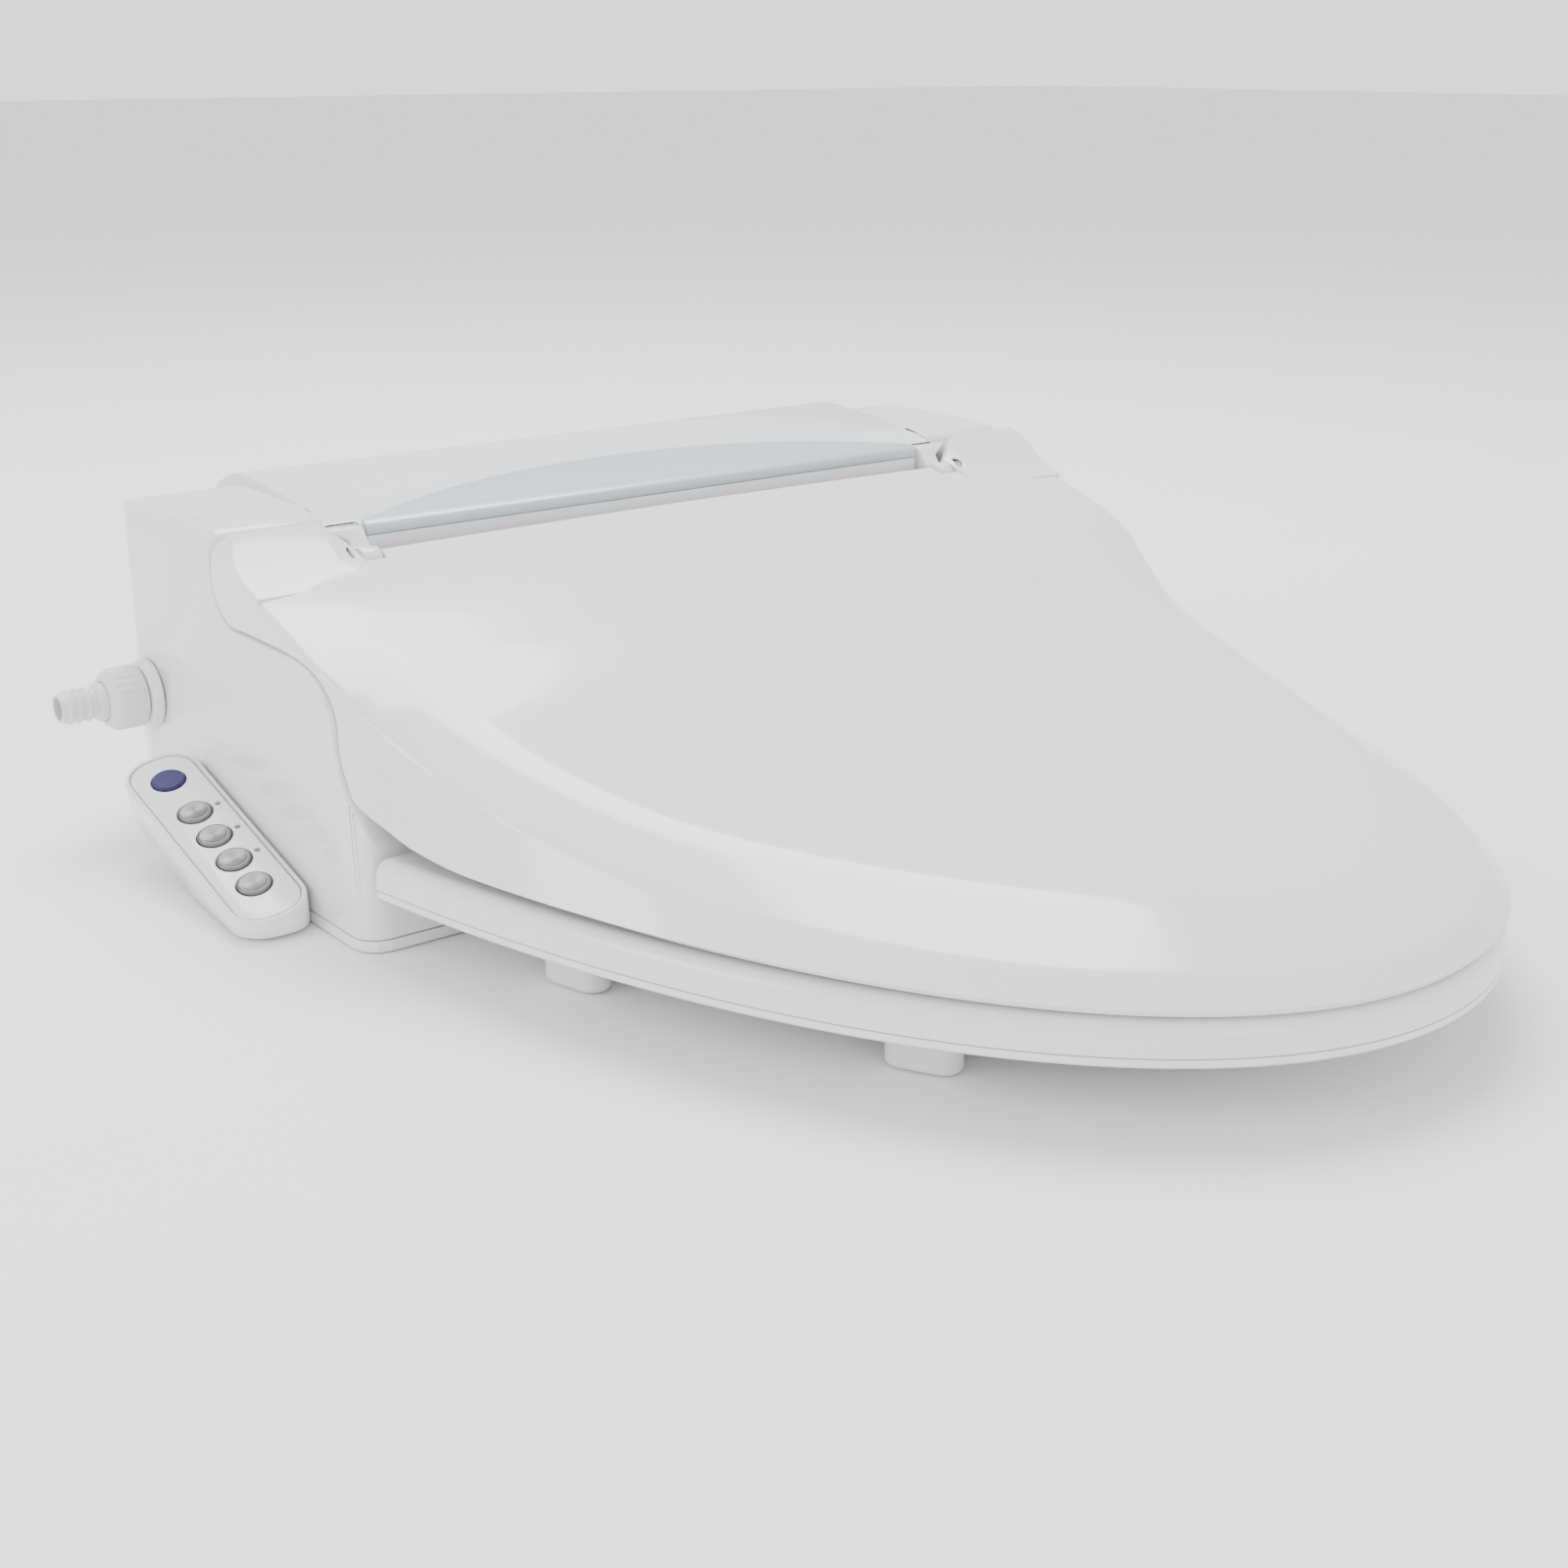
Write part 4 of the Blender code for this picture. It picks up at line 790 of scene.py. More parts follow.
@dataclass
class Housing:
    """The casing across the back, with its silver plate and the white strip below it."""

    hinge: Hinge
    maker: Maker
    half_width: float = 0.196
    length: float = 0.2187
    rear_corner: float = 0.045
    front_corner: float = 0.010
    side_top: float = 0.011
    base_thick: float = 0.004
    shoulder: float = 0.1325
    shoulder_rear: float = 0.050
    plateau_rear: float = 0.045
    plateau_front: float = 0.119
    plateau_half: float = 0.150
    plateau_top: Profile = (
        (0.045, 0.1367), (0.060, 0.1359), (0.080, 0.1340), (0.100, 0.1308), (0.119, 0.1258),
    )
    recess_half: float = 0.138
    recess: float = 0.024
    trim_half: float = 0.136
    trim_apex: float = 0.0875
    trim_arch: float = 1.57
    trim_thick: float = 0.0012
    trim_front: float = 0.1212
    trim_lip: float = 0.1232
    screw_places: Profile = ((0.165, 0.030), (0.178, 0.176))
    inlet_hole: float = 0.0085
    inlet_back: float = 0.048
    inlet_height: float = 0.056
    nozzle_mouth: Opening = Opening((-0.0195, -0.01), (0.0195, 0.0235))
    dryer_mouth: Opening = Opening((0.0355, 0.006), (0.0685, 0.0215))
    cartridge_mouth: Opening = Opening((0.118, 0.0135), (0.164, 0.0345))
    cord_hole: float = 0.0078
    cord_place: Point2 = (0.150, 0.024)
    past_wall: float = 0.01

    def nose(self, bottom: float) -> list[Point2]:
        """The front in side view, from under the lid's ears down to the bottom, as (y, z).

        Args:
            bottom: The height that it ends at.

        Returns:
            The points.
        """
        seat = self.hinge.ear_floor
        front = depth(self.length)
        waist = (depth(0.2035), 0.072)
        under = bezier((depth(0.174), seat), (depth(0.194), seat), (depth(0.2025), 0.088), waist, 18)
        foot = bezier(waist, (depth(0.206), 0.056), (front, 0.052), (front, 0.030), 16)
        return under + foot[1:] + [(front, bottom)]

    def wing_side(self, bottom: float) -> list[Point2]:
        """The side view beside the plateau, as (y, z).

        Args:
            bottom: The height that it starts and ends at.

        Returns:
            The outline.
        """
        rear = [(depth(0.0), bottom)]
        centre = (depth(self.shoulder_rear), self.shoulder - self.shoulder_rear)
        rear += arc(centre, self.shoulder_rear, 0, 90)
        clear = self.hinge.ear_radius + self.hinge.ear_gap
        wall = self.hinge.y + clear
        top = [(depth(0.063), self.shoulder)]
        top += bezier((wall + 0.005, 0.1308), (wall + 0.002, 0.1300), (wall, 0.1292), (wall, 0.1270), 6)
        return rear + top + self.hinge.circle(clear, 0, -90) + self.nose(bottom)

    def plateau_side(self, bottom: float) -> list[Point2]:
        """The side view of the middle, as (y, z).

        Args:
            bottom: The height that it starts and ends at.

        Returns:
            The outline.
        """
        height = self.plateau_top[0][1]
        rear = [(depth(0.0), bottom)]
        rear += arc((depth(self.plateau_rear), height - self.plateau_rear), self.plateau_rear, 0, 90)
        steps = 18
        first, last = self.plateau_top[0][0], self.plateau_top[-1][0]
        backs = [first + (last - first) * n / steps for n in range(1, steps + 1)]
        top = [(depth(back), height_on(self.plateau_top, back)) for back in backs]
        return rear + top + [(depth(self.plateau_front), self.hinge.ear_floor)] + self.nose(bottom)

    def arm_slot(self, clearance: float) -> list[Point2]:
        """What the seat's arm needs in the front, as (y, z).

        Args:
            clearance: The room kept round the arm.

        Returns:
            The outline.
        """
        edge = self.hinge.arm_lower
        lower = [(depth(back - 0.6 * clearance), z - clearance) for back, z in edge]
        start = (depth(0.1200 - clearance), lower[0][1])
        front = [(lower[-1][0], 0.0005), (depth(0.30), 0.0005), (depth(0.30), 0.16)]
        return [start] + lower + front + [(start[0], 0.16)]

    def arm_ends(self, side: Side, clearance: float) -> list[float]:
        """Where the arm's slot starts and ends across the seat.

        Args:
            side: Which arm.
            clearance: The room kept beside the arm.

        Returns:
            The two X places, the lower one first.
        """
        inner = self.hinge.arm_inner - self.hinge.hub_gap - clearance
        outer = self.hinge.arm_outer + self.hinge.hub_gap + clearance
        return sorted((side.value * inner, side.value * outer))

    def plan(self) -> list[Point2]:
        """The outline from above, anticlockwise.

        Returns:
            The points, as (x, y).
        """
        rear = self.half_width - self.rear_corner
        front = self.half_width - self.front_corner
        front_y = depth(self.length - self.front_corner)
        return (
            arc((rear, depth(self.rear_corner)), self.rear_corner, 0, 90, 24)
            + arc((-rear, depth(self.rear_corner)), self.rear_corner, 90, 180, 24)
            + arc((-front, front_y), self.front_corner, 180, 270, 10)
            + arc((front, front_y), self.front_corner, 270, 360, 10)
        )

    def view(self, bottom: float) -> list[Point2]:
        """The outline from the front, anticlockwise, as (x, z).

        Args:
            bottom: The height of its lower edge.

        Returns:
            The points.
        """
        right = [(self.half_width, bottom)]
        right += arc((self.half_width - self.side_top, self.shoulder - self.side_top), self.side_top, 0, 90)
        step, top = self.plateau_half, self.shoulder
        foot, head = (step + 0.010, top), (step, top + 0.006)
        right += bezier(foot, (step + 0.004, top), (step + 0.003, top + 0.002), head, 6)
        return right + [(-x, z) for x, z in reversed(right)]

    def form(self, shrink: float, bottom: float) -> bpy.types.Object:
        """The outer form, or with a shrink the hollow inside its walls.

        Args:
            shrink: How far the form is drawn in.
            bottom: The height that it starts at.

        Returns:
            The form as a helper object.
        """
        wide = self.half_width + 0.01
        wing = inset(self.wing_side(bottom), shrink)
        item = self.maker.make("housing_form", prism(wing, Axis.X, -wide, wide))
        middle = self.plateau_half - shrink
        join = self.maker.join
        join(item, block((-middle, depth(0.30), 0.10), (middle, depth(-0.01), 0.20)), Joining.CUT)
        middle = self.plateau_half - shrink * 0.5
        join(item, prism(inset(self.plateau_side(bottom), shrink), Axis.X, -middle, middle), Joining.ADD)
        join(item, prism(inset(self.plan(), shrink), Axis.Z, bottom - 0.01, 0.20), Joining.KEEP)
        view = inset(self.view(bottom - 0.02), shrink)
        join(item, prism(view, Axis.Y, depth(0.30), depth(-0.05)), Joining.KEEP)
        recess = self.recess_half + shrink
        wall = depth(self.length - self.recess - shrink)
        join(item, block((-recess, depth(0.30), -0.05), (recess, wall, 0.0685 + shrink)), Joining.CUT)
        for side in Side:
            slot = prism(self.arm_slot(0.0015 + shrink), Axis.X, *self.arm_ends(side, shrink))
            join(item, slot, Joining.CUT)
        return item

    def knuckle(self, side: Side) -> bpy.types.Object:
        """The part that holds a hinge pin, coned to let the ear turn past.

        Args:
            side: Which one.

        Returns:
            The knuckle as a helper object.
        """
        radius, rear = self.hinge.knuckle_radius, depth(0.1150)
        outline = [(depth(self.trim_front), 0.1268)] + self.hinge.circle(radius, 50, 270, 28)
        outline += [(rear, self.hinge.height - radius), (rear, 0.1272)]
        ends = sorted((side.value * self.hinge.knuckle_inner, side.value * 0.1568))
        item = self.maker.make("knuckle_form", prism(outline, Axis.X, *ends))
        start = self.hinge.at(side.value * self.hinge.knuckle_outer)
        cone = turned(((0.0105, 0.0), (0.0183, 0.0115)), start, (side.value, 0, 0), 48)
        return self.maker.join(item, cone, Joining.CUT)

    def cover(self) -> bpy.types.Object:
        """The upper shell with everything that passes through its walls.

        Returns:
            The shell.
        """
        join = self.maker.join
        low, high = (-0.3, -0.4, self.base_thick + GAP), (0.3, 0.3, 0.2)
        item = self.maker.make("housing_shell", block(low, high))
        outer, hollow = self.form(0.0, 0.0), self.form(WALL, -0.010)
        self.maker.join_object(item, outer, Joining.KEEP)
        self.maker.join_object(item, hollow, Joining.CUT)
        for helper in (outer, hollow):
            bpy.data.meshes.remove(helper.data)
        self.openings(item)
        self.posts(item)
        for side in Side:
            knuckle = self.knuckle(side)
            self.maker.join_object(item, knuckle, Joining.ADD)
            bpy.data.meshes.remove(knuckle.data)
            start = self.hinge.at(side.value * (self.hinge.knuckle_inner + 0.0018))
            end = self.hinge.at(side.value * 0.149)
            join(item, cylinder(self.hinge.pin_radius + GAP, start, end), Joining.CUT)
        return item

    def openings(self, item: bpy.types.Object) -> None:
        """Cuts the holes for the inlet, the wands, the warm air, the cartridge and the cord.

        Args:
            item: The shell.
        """
        join, reach, side = self.maker.join, self.past_wall, self.half_width
        inlet = [(x, depth(self.inlet_back), self.inlet_height) for x in (-side - reach, -side + reach)]
        join(item, cylinder(self.inlet_hole, *inlet), Joining.CUT)
        front = depth(self.length - self.recess)
        for mouth in (self.nozzle_mouth, self.dryer_mouth):
            (left, floor), (right, roof) = mouth.low, mouth.high
            join(item, block((left, front - reach, floor), (right, front + reach, roof)), Joining.CUT)
        (rear, floor), (fore, roof) = self.cartridge_mouth.low, self.cartridge_mouth.high
        slot = block((side - reach, depth(fore) - PLAY, floor), (side + reach, depth(rear) + PLAY, roof))
        join(item, slot, Joining.CUT)
        x, height = self.cord_place
        cord = [(x, depth(back), height) for back in (reach, -reach)]
        join(item, cylinder(self.cord_hole, *cord), Joining.CUT)

    def posts(self, item: bpy.types.Object) -> None:
        """Adds the posts inside the shell that take the screws from below.

        Args:
            item: The shell.
        """
        for x, back in self.screw_places:
            near_rear = back < self.hinge.back - self.hinge.ear_radius
            top = (self.shoulder - 0.008 if near_rear else self.hinge.ear_floor) - WALL / 2
            for side in Side:
                at = (side.value * x, depth(back))
                post = cylinder(0.0045, (*at, self.base_thick + GAP), (*at, top), 32)
                self.maker.join(item, post, Joining.ADD)
                self.maker.join(item, cylinder(0.0019, (*at, -0.01), (*at, 0.022), 24), Joining.CUT)

    def plate(self) -> bpy.types.Object:
        """The silver plate: straight in front, arched behind, turned down along its front edge.

        Returns:
            The plate.
        """
        steps = 72
        arch = []
        for n in range(steps + 1):
            x = self.trim_half * (1 - 2 * n / steps)
            arch.append((x, depth(self.trim_apex + self.trim_arch * x * x)))
        outline = [(-self.trim_half, depth(0.125)), (self.trim_half, depth(0.125))] + arch
        item = self.maker.make("silver_plate", prism(outline, Axis.Z, 0.10, 0.20))
        first, last = self.plateau_top[1][0], self.plateau_top[-2][0]
        backs = [first + (last + 0.012 - first) * n / 14 for n in range(15)]
        under = [(depth(back), height_on(self.plateau_top, back) + GAP) for back in backs]
        low = self.plateau_top[-1][1] + GAP
        face = depth(self.plateau_front + GAP)
        under += [(face, low), (face, self.trim_lip)]
        front = depth(self.trim_front)
        turn = bezier(
            (front, low - 0.0004), (front, low + 0.0006), (front + 0.0002, low + self.trim_thick),
            (front + 0.0022, low + self.trim_thick + 0.0007), 6,
        )
        skin = [(front, self.trim_lip)] + turn
        skin += [(y, z + self.trim_thick) for y, z in reversed(under[:-2])]
        return self.maker.join(item, prism(under + skin, Axis.X, -0.2, 0.2), Joining.KEEP)

    def strip(self) -> bpy.types.Object:
        """The white strip that closes the front below the plate.

        Returns:
            The strip.
        """
        back, front = depth(self.plateau_front + GAP), depth(self.trim_front)
        top = self.trim_lip - GAP
        section = [(back, 0.1045), (back, top), (front, top), (front, 0.1052), (front + 0.0007, 0.1045)]
        return self.maker.make("white_strip", prism(section, Axis.X, -self.trim_half, self.trim_half))

    def build(self) -> None:
        """Builds and dresses the casing's pieces."""
        maker = self.maker
        cover = maker.soften(self.cover(), 0.0007, 34.0, 2, clamp=False)
        maker.dress(cover, WHITE, "housing", "housing_cover")
        plate = maker.soften(self.plate(), 0.0003, 40.0, 2)
        maker.dress(plate, SILVER, "housing", "silver_trim_plate")
        strip = maker.soften(self.strip(), 0.0004, 40.0, 3)
        maker.dress(strip, WHITE, "housing", "hinge_strip")


# ---- seat and lid ----------------------------------------------------------------------------------


@dataclass
class SeatOutline:
    """The plan that the seat and the lid share."""

    rear_half: float = 0.1925
    rear: float = 0.2222
    side_handle: Point2 = (0.1665, 0.404)
    tip_handle: float = 0.088
    tip: float = 0.5098

    def half(self, steps: int) -> list[Point2]:
        """Half of the plan, from the rear corner round to the tip, on the +X side.

        Args:
            steps: Number of segments.

        Returns:
            The points, as (x, y).
        """
        return bezier(
            (self.rear_half, depth(self.rear)),
            (self.side_handle[0], depth(self.side_handle[1])),
            (self.tip_handle, depth(self.tip)),
            (0.0, depth(self.tip)),
            steps,
        )


@dataclass
class Lid:
    """The lid: a skin with a lower crease and a raised middle, and two hinge ears."""

    hinge: Hinge
    housing: Housing
    outline: SeatOutline
    maker: Maker
    rear: float = 0.1312
    gap: float = 0.0011
    crease_inset: float = 0.008
    top_inset: float = 0.027
    tip_inset: float = 0.040
    crown: float = 0.0016
    edge: Profile = (
        (0.1312, 0.0990), (0.172, 0.0985), (0.186, 0.0950), (0.1960, 0.087), (0.2005, 0.077), (0.2030, 0.067),
        (0.207, 0.0595), (0.215, 0.0535), (0.228, 0.0490), (0.245, 0.0445), (0.270, 0.0420), (0.400, 0.0405),
        (0.5098, 0.0390),
    )
    side: Profile = (
        (0.1312, 0.1180), (0.165, 0.108), (0.195, 0.0965), (0.215, 0.0840), (0.240, 0.0720), (0.280, 0.0620),
        (0.320, 0.0550), (0.360, 0.0510), (0.440, 0.0480), (0.5098, 0.0465),
    )
    top: Profile = (
        (0.1312, 0.1193), (0.160, 0.1115), (0.200, 0.0970), (0.240, 0.0820), (0.280, 0.0730), (0.320, 0.0670),
        (0.360, 0.0640), (0.400, 0.0620), (0.440, 0.0600), (0.470, 0.0575),
    )
    corner_cuts: tuple[float, float, float] = (0.0022, 0.0070, 0.0300)

    def plan(self) -> list[Point2]:
        """Half of the outline, from the hinge round to the tip.

        Returns:
            The points, as (x, y).
        """
        x = self.housing.half_width
        points = [(x, depth(self.rear + (0.183 - self.rear) * n / 14)) for n in range(14)]
        corner = self.outline
        points += bezier(
            (x, depth(0.183)), (x, depth(0.205)), (0.1945, depth(0.212)),
            (corner.rear_half + 0.0003, depth(corner.rear)), 20,
        )
        return points + corner.half(84)[1:]

    def rows(self) -> list[list[Vector]]:
        """Rows of points across half the skin, from its lower edge to its middle.

        Returns:
            One row of points for each place along the outline.
        """
        plan = self.plan()
        rows = []
        for n, point in enumerate(plan):
            way = (Vector(plan[min(n + 1, len(plan) - 1)]) - Vector(plan[max(n - 1, 0)])).normalized()
            if n == len(plan) - 1:
                way = Vector((-1, 0))
            inward = Vector((way.y, -way.x))
            back = BOLT_DEPTH - point[1]
            share = smooth_step((back - 0.22) / (self.outline.tip - 0.22))
            wide = self.top_inset + (self.tip_inset - self.top_inset) * share**2
            crease = Vector(point) + inward * self.crease_inset * smooth_step((back - 0.180) / 0.062)
            top = Vector(point) + inward * wide
            top.x = max(0.0, top.x)
            height = height_on(self.top, BOLT_DEPTH - top.y)
            crown = self.crown * top.x / self.housing.half_width
            corners = [
                Vector((*point, height_on(self.edge, back))),
                Vector((*crease, height_on(self.side, BOLT_DEPTH - crease.y))),
                Vector((*top, height)),
                Vector((top.x * 0.5, top.y, height + crown * 0.7)),
                Vector((0.0, top.y, height + crown)),
            ]
            rows.append(softened(corners, self.corner_cuts, 5))
        return rows

    def skin(self) -> bmesh.types.BMesh:
        """The outer skin.

        Returns:
            The skin, open below.
        """
        bm = bmesh.new()
        made = []
        for row in self.rows():
            full = row + [Vector((-p.x, p.y, p.z)) for p in reversed(row[:-1])]
            made.append([bm.verts.new(p) for p in full])
        for a, b in zip(made, made[1:]):
            for n in range(len(a) - 1):
                bm.faces.new((a[n], a[n + 1], b[n + 1], b[n]))
        bmesh.ops.remove_doubles(bm, verts=bm.verts, dist=0.00002)
        bmesh.ops.recalc_face_normals(bm, faces=bm.faces)
        if sum(f.normal.z for f in bm.faces) < 0:
            bmesh.ops.reverse_faces(bm, faces=bm.faces)
        return bm

    def ear_ring(self, x: float, radius: float) -> list[Point3]:
        """An ear's side view where its barrel has a radius.

        Args:
            x: Where across the seat the view is taken.
            radius: The barrel's radius there.

        Returns:
            The points.
        """
        points = self.hinge.circle(radius, -90, 67, 30)
        points.append((depth(0.1395), height_on(self.top, 0.1395) + 0.0012))
        points.append((depth(0.1520), height_on(self.top, 0.1520) - 0.0006))
        points.append((depth(0.1520), self.hinge.height - radius + 0.0008))
        return [(x, y, z) for y, z in points]

    def ear(self, side: Side, item: bpy.types.Object) -> None:
        """Adds one hinge ear, with its hollow and its bores.

        Args:
            side: Which one.
            item: The lid.
        """
        hinge, join, sign = self.hinge, self.maker.join, side.value
        half = self.housing.half_width
        low = 0.0065
        cone = hinge.ear_radius - low
        stations = [(hinge.ear_inner - 0.0002, low), (hinge.ear_inner + cone * 0.5, low + cone * 0.5)]
        stations += [(hinge.ear_inner + cone, hinge.ear_radius), (half, hinge.ear_radius)]
        join(item, lofted([self.ear_ring(sign * x, radius) for x, radius in stations]), Joining.ADD)
        top_r = self.housing.side_top
        middle = half - top_r
        centre = (sign * middle, self.housing.shoulder - top_r)
        corner = arc(centre, top_r + 0.00015, *((0, 90) if sign > 0 else (180, 90)), 18)
        corner = [(sign * 0.21, corner[0][1])] + corner + [(sign * middle, 0.145), (sign * 0.21, 0.145)]
        join(item, prism(corner, Axis.Y, depth(0.160), depth(0.100)), Joining.CUT)
        hollow = hinge.circle(hinge.hub_radius + hinge.hub_gap, 180, 25, 20)
        reach = hinge.ear_radius + 0.003
        turn = math.radians(25)
        hollow += [
            (hinge.y + reach * math.cos(turn), hinge.height + reach * math.sin(turn)),
            (hinge.y + reach, 0.08), (depth(0.170), 0.08),
            (depth(0.170), height_on(self.top, 0.170) - WALL - 0.0008),
            (depth(0.152), height_on(self.top, 0.152) - WALL - 0.0008),
        ]
        join(item, prism(hollow, Axis.X, *self.housing.arm_ends(side, 0.0002)), Joining.CUT)
        pin = cylinder(hinge.pin_radius + PLAY, hinge.at(sign * 0.140), hinge.at(sign * 0.1885))
        join(item, pin, Joining.CUT)
        damper = cylinder(hinge.damper_radius + GAP, hinge.at(sign * 0.160), hinge.at(sign * 0.1902))
        join(item, damper, Joining.CUT)

    def build(self) -> None:
        """Builds and dresses the lid."""
        item = self.maker.make("lid_shell", self.skin())
        wall = item.modifiers.new("wall", "SOLIDIFY")
        wall.thickness = WALL
        wall.offset = -1.0
        wall.use_even_offset = True
        self.maker.bake(item)
        notch = depth(self.rear - 0.005)
        for side in Side:
            sign = side.value
            outer = sign * (self.housing.trim_half + 0.0004)
            plan = [
                (outer, notch), (outer, depth(self.rear)),
                (sign * (self.hinge.knuckle_inner - 0.0006), depth(0.1380)),
                (sign * self.hinge.ear_inner, depth(0.1380)), (sign * self.hinge.ear_inner, notch),
            ]
            self.maker.join(item, prism(plan, Axis.Z, 0.105, 0.13), Joining.CUT)
        self.maker.careful = True
        for side in Side:
            self.ear(side, item)
        nose = [(y - 0.6 * self.gap, z + self.gap) for y, z in self.housing.nose(0.030)]
        nose = [(depth(0.1500), nose[0][1])] + nose + [(depth(0.1500), 0.030)]
        self.maker.join(item, prism(nose, Axis.X, -0.25, 0.25), Joining.CUT)
        self.maker.careful = False
        self.maker.dress(item, WHITE, "lid", "lid", 30.0)


@dataclass
class Seat:
    """The seat ring: an upper shell with a rolled edge over a lower shell with two arms."""

    hinge: Hinge
    housing: Housing
    outline: SeatOutline
    maker: Maker
    underside: float = 0.0218
    top: float = 0.0368
    plate: float = 0.003
    outer_edge: float = 0.0300
    inner_edge: float = 0.0290
    inner_top: float = 0.0345
    dish: Profile = ((0.72, 0.0002), (0.5, 0.0006), (0.3, 0.0012))
    opening_front: float = 0.452
    opening_rear: float = 0.226
    opening_half: float = 0.104
    power: float = 2.3
    rays: int = 220
    bumper_places: tuple[tuple[str, float, float, float], ...] = (
        ("front", 0.1014, 0.4002, 62.0), ("rear", 0.1503, 0.2815, 76.0),
    )

    def plan(self) -> list[Vector]:
        """The whole outline, with the tongue that reaches into the housing's front.

        Returns:
            The points.
        """
        half = self.outline.half(80)
        tongue = (self.housing.recess_half - 0.003, depth(self.housing.length - self.housing.recess + 0.004))
        rear = [(-tongue[0], half[0][1]), (-tongue[0], tongue[1]), tongue, (tongue[0], half[0][1])]
        left = [(-x, y) for x, y in reversed(half[:-1])]
        return [Vector(p) for p in rear + half + left]

    def opening(self, angle: float) -> float:
        """The opening's edge as a distance from its centre.

        Args:
            angle: The direction in radians, 0 being +X.

        Returns:
            The distance.
        """
        half_long = (self.opening_front - self.opening_rear) / 2
        c, s = abs(math.cos(angle)), abs(math.sin(angle))
        return ((c / self.opening_half) ** self.power + (s / half_long) ** self.power) ** (-1 / self.power)

    def spokes(self) -> list[tuple[Vector, Vector]]:
        """For each direction, the points on the opening's edge and on the seat's edge.

        Returns:
            The pairs of points, in order of angle.
        """
        centre = Vector((0.0, depth((self.opening_front + self.opening_rear) / 2)))
        plan = [p - centre for p in self.plan()]
        corners = [math.atan2(plan[n].y, plan[n].x) for n in (0, 1, 2, 3, 4, -1)]
        even = [2 * math.pi * n / self.rays - math.pi + 0.001 for n in range(self.rays)]
        kept: list[float] = []
        for angle in sorted(corners + even):
            if not kept or angle - kept[-1] > 0.002:
                kept.append(angle)
        spokes = []
        for angle in kept:
            way = Vector((math.cos(angle), math.sin(angle)))
            across = Vector((-way.y, way.x))
            best = 0.0
            for n, a in enumerate(plan):
                b = plan[(n + 1) % len(plan)]
                sa, sb = a.dot(across), b.dot(across)
                if sa * sb <= 0 and abs(sa - sb) > 1e-12:
                    best = max(best, (a + (b - a) * (sa / (sa - sb))).dot(way))
            spokes.append((centre + way * self.opening(angle), centre + way * best))
        return spokes

    def ring(self, section: Callable[[float], list[Point2]]) -> bmesh.types.BMesh:
        """A solid round the opening.

        Args:
            section: Gives (share from the opening outwards, height) points for a width.

        Returns:
            The solid.
        """
        loops = []
        for inner, outer in self.spokes():
            wide = (outer - inner).length
            loops.append([(*(inner + (outer - inner) * share), height) for share, height in section(wide)])
        return lofted(loops, closed=True)

    def upper_section(self, wide: float) -> list[Point2]:
        """The upper shell across the ring, rolled down at both edges.

        Args:
            wide: The ring's width in this direction.

        Returns:
            The points, as (share of the width from the opening, height).
        """
        low = self.underside + self.plate + GAP
        roll = min(0.0065, wide * 0.3)
        wall = min(WALL, wide * 0.25) / wide
        turns = [math.radians(15 * n) for n in range(7)]
        side, rise = self.outer_edge, self.top - self.outer_edge
        outer = [(1.0, low), (1.0, side)]
        outer += [(1.0 - roll / wide * (1 - math.cos(a)), side + rise * math.sin(a)) for a in turns[1:]]
        start, fall = 1.5 * roll / wide, self.inner_top - self.inner_edge
        room = (start + 0.05, 1 - roll / wide - 0.02)
        dish = [(share, self.top - drop) for share, drop in self.dish if room[0] < share < room[1]]
        # Every section needs three points here. A narrow one has room for two, so its first is used again.
        dish = (dish * 2)[:3]
        inner = [(start * (1 - math.sin(a)), self.inner_edge + fall * math.cos(a)) for a in turns]
        outside = outer + dish + inner + [(0.0, low)]
        inside = [(wall, low), (wall, 0.0282), (0.5, self.top - 0.0036), (1 - wall, 0.0312), (1 - wall, low)]
        return outside + inside

    def lower_section(self, wide: float) -> list[Point2]:
        """The lower shell across the ring.

        Args:
            wide: The ring's width in this direction.

        Returns:
            The points, as (share of the width from the opening, height).
        """
        edge = min(0.0008, wide * 0.05) / wide
        floor, roof = self.underside, self.underside + self.plate
        outer = [(1 - edge, floor), (1.0, floor + 0.0008), (1.0, roof)]
        return outer + [(1 - share, height) for share, height in reversed(outer)]

    def arms(self, item: bpy.types.Object) -> None:
        """Adds the two arms that rise to the hinge.

        Args:
            item: The lower shell.
        """
        floor, roof = self.underside + 0.0005, self.underside + self.plate - 0.0003
        foot = [(depth(0.2197), floor), (depth(0.2350), floor), (depth(0.2350), roof), (depth(0.2219), roof)]
        lower = [(depth(back), z) for back, z in self.hinge.arm_lower]
        upper = [(depth(back), z) for back, z in self.hinge.arm_upper]
        outline = self.hinge.circle(self.hinge.hub_radius, 190, -90, 30) + lower + foot + upper
        for side in Side:
            ends = sorted((side.value * self.hinge.arm_inner, side.value * self.hinge.arm_outer))
            self.maker.join(item, prism(outline, Axis.X, *ends), Joining.ADD)
            start, end = self.hinge.at(side.value * 0.14), self.hinge.at(side.value * 0.17)
            self.maker.join(item, cylinder(self.hinge.pin_radius + PLAY, start, end), Joining.CUT)

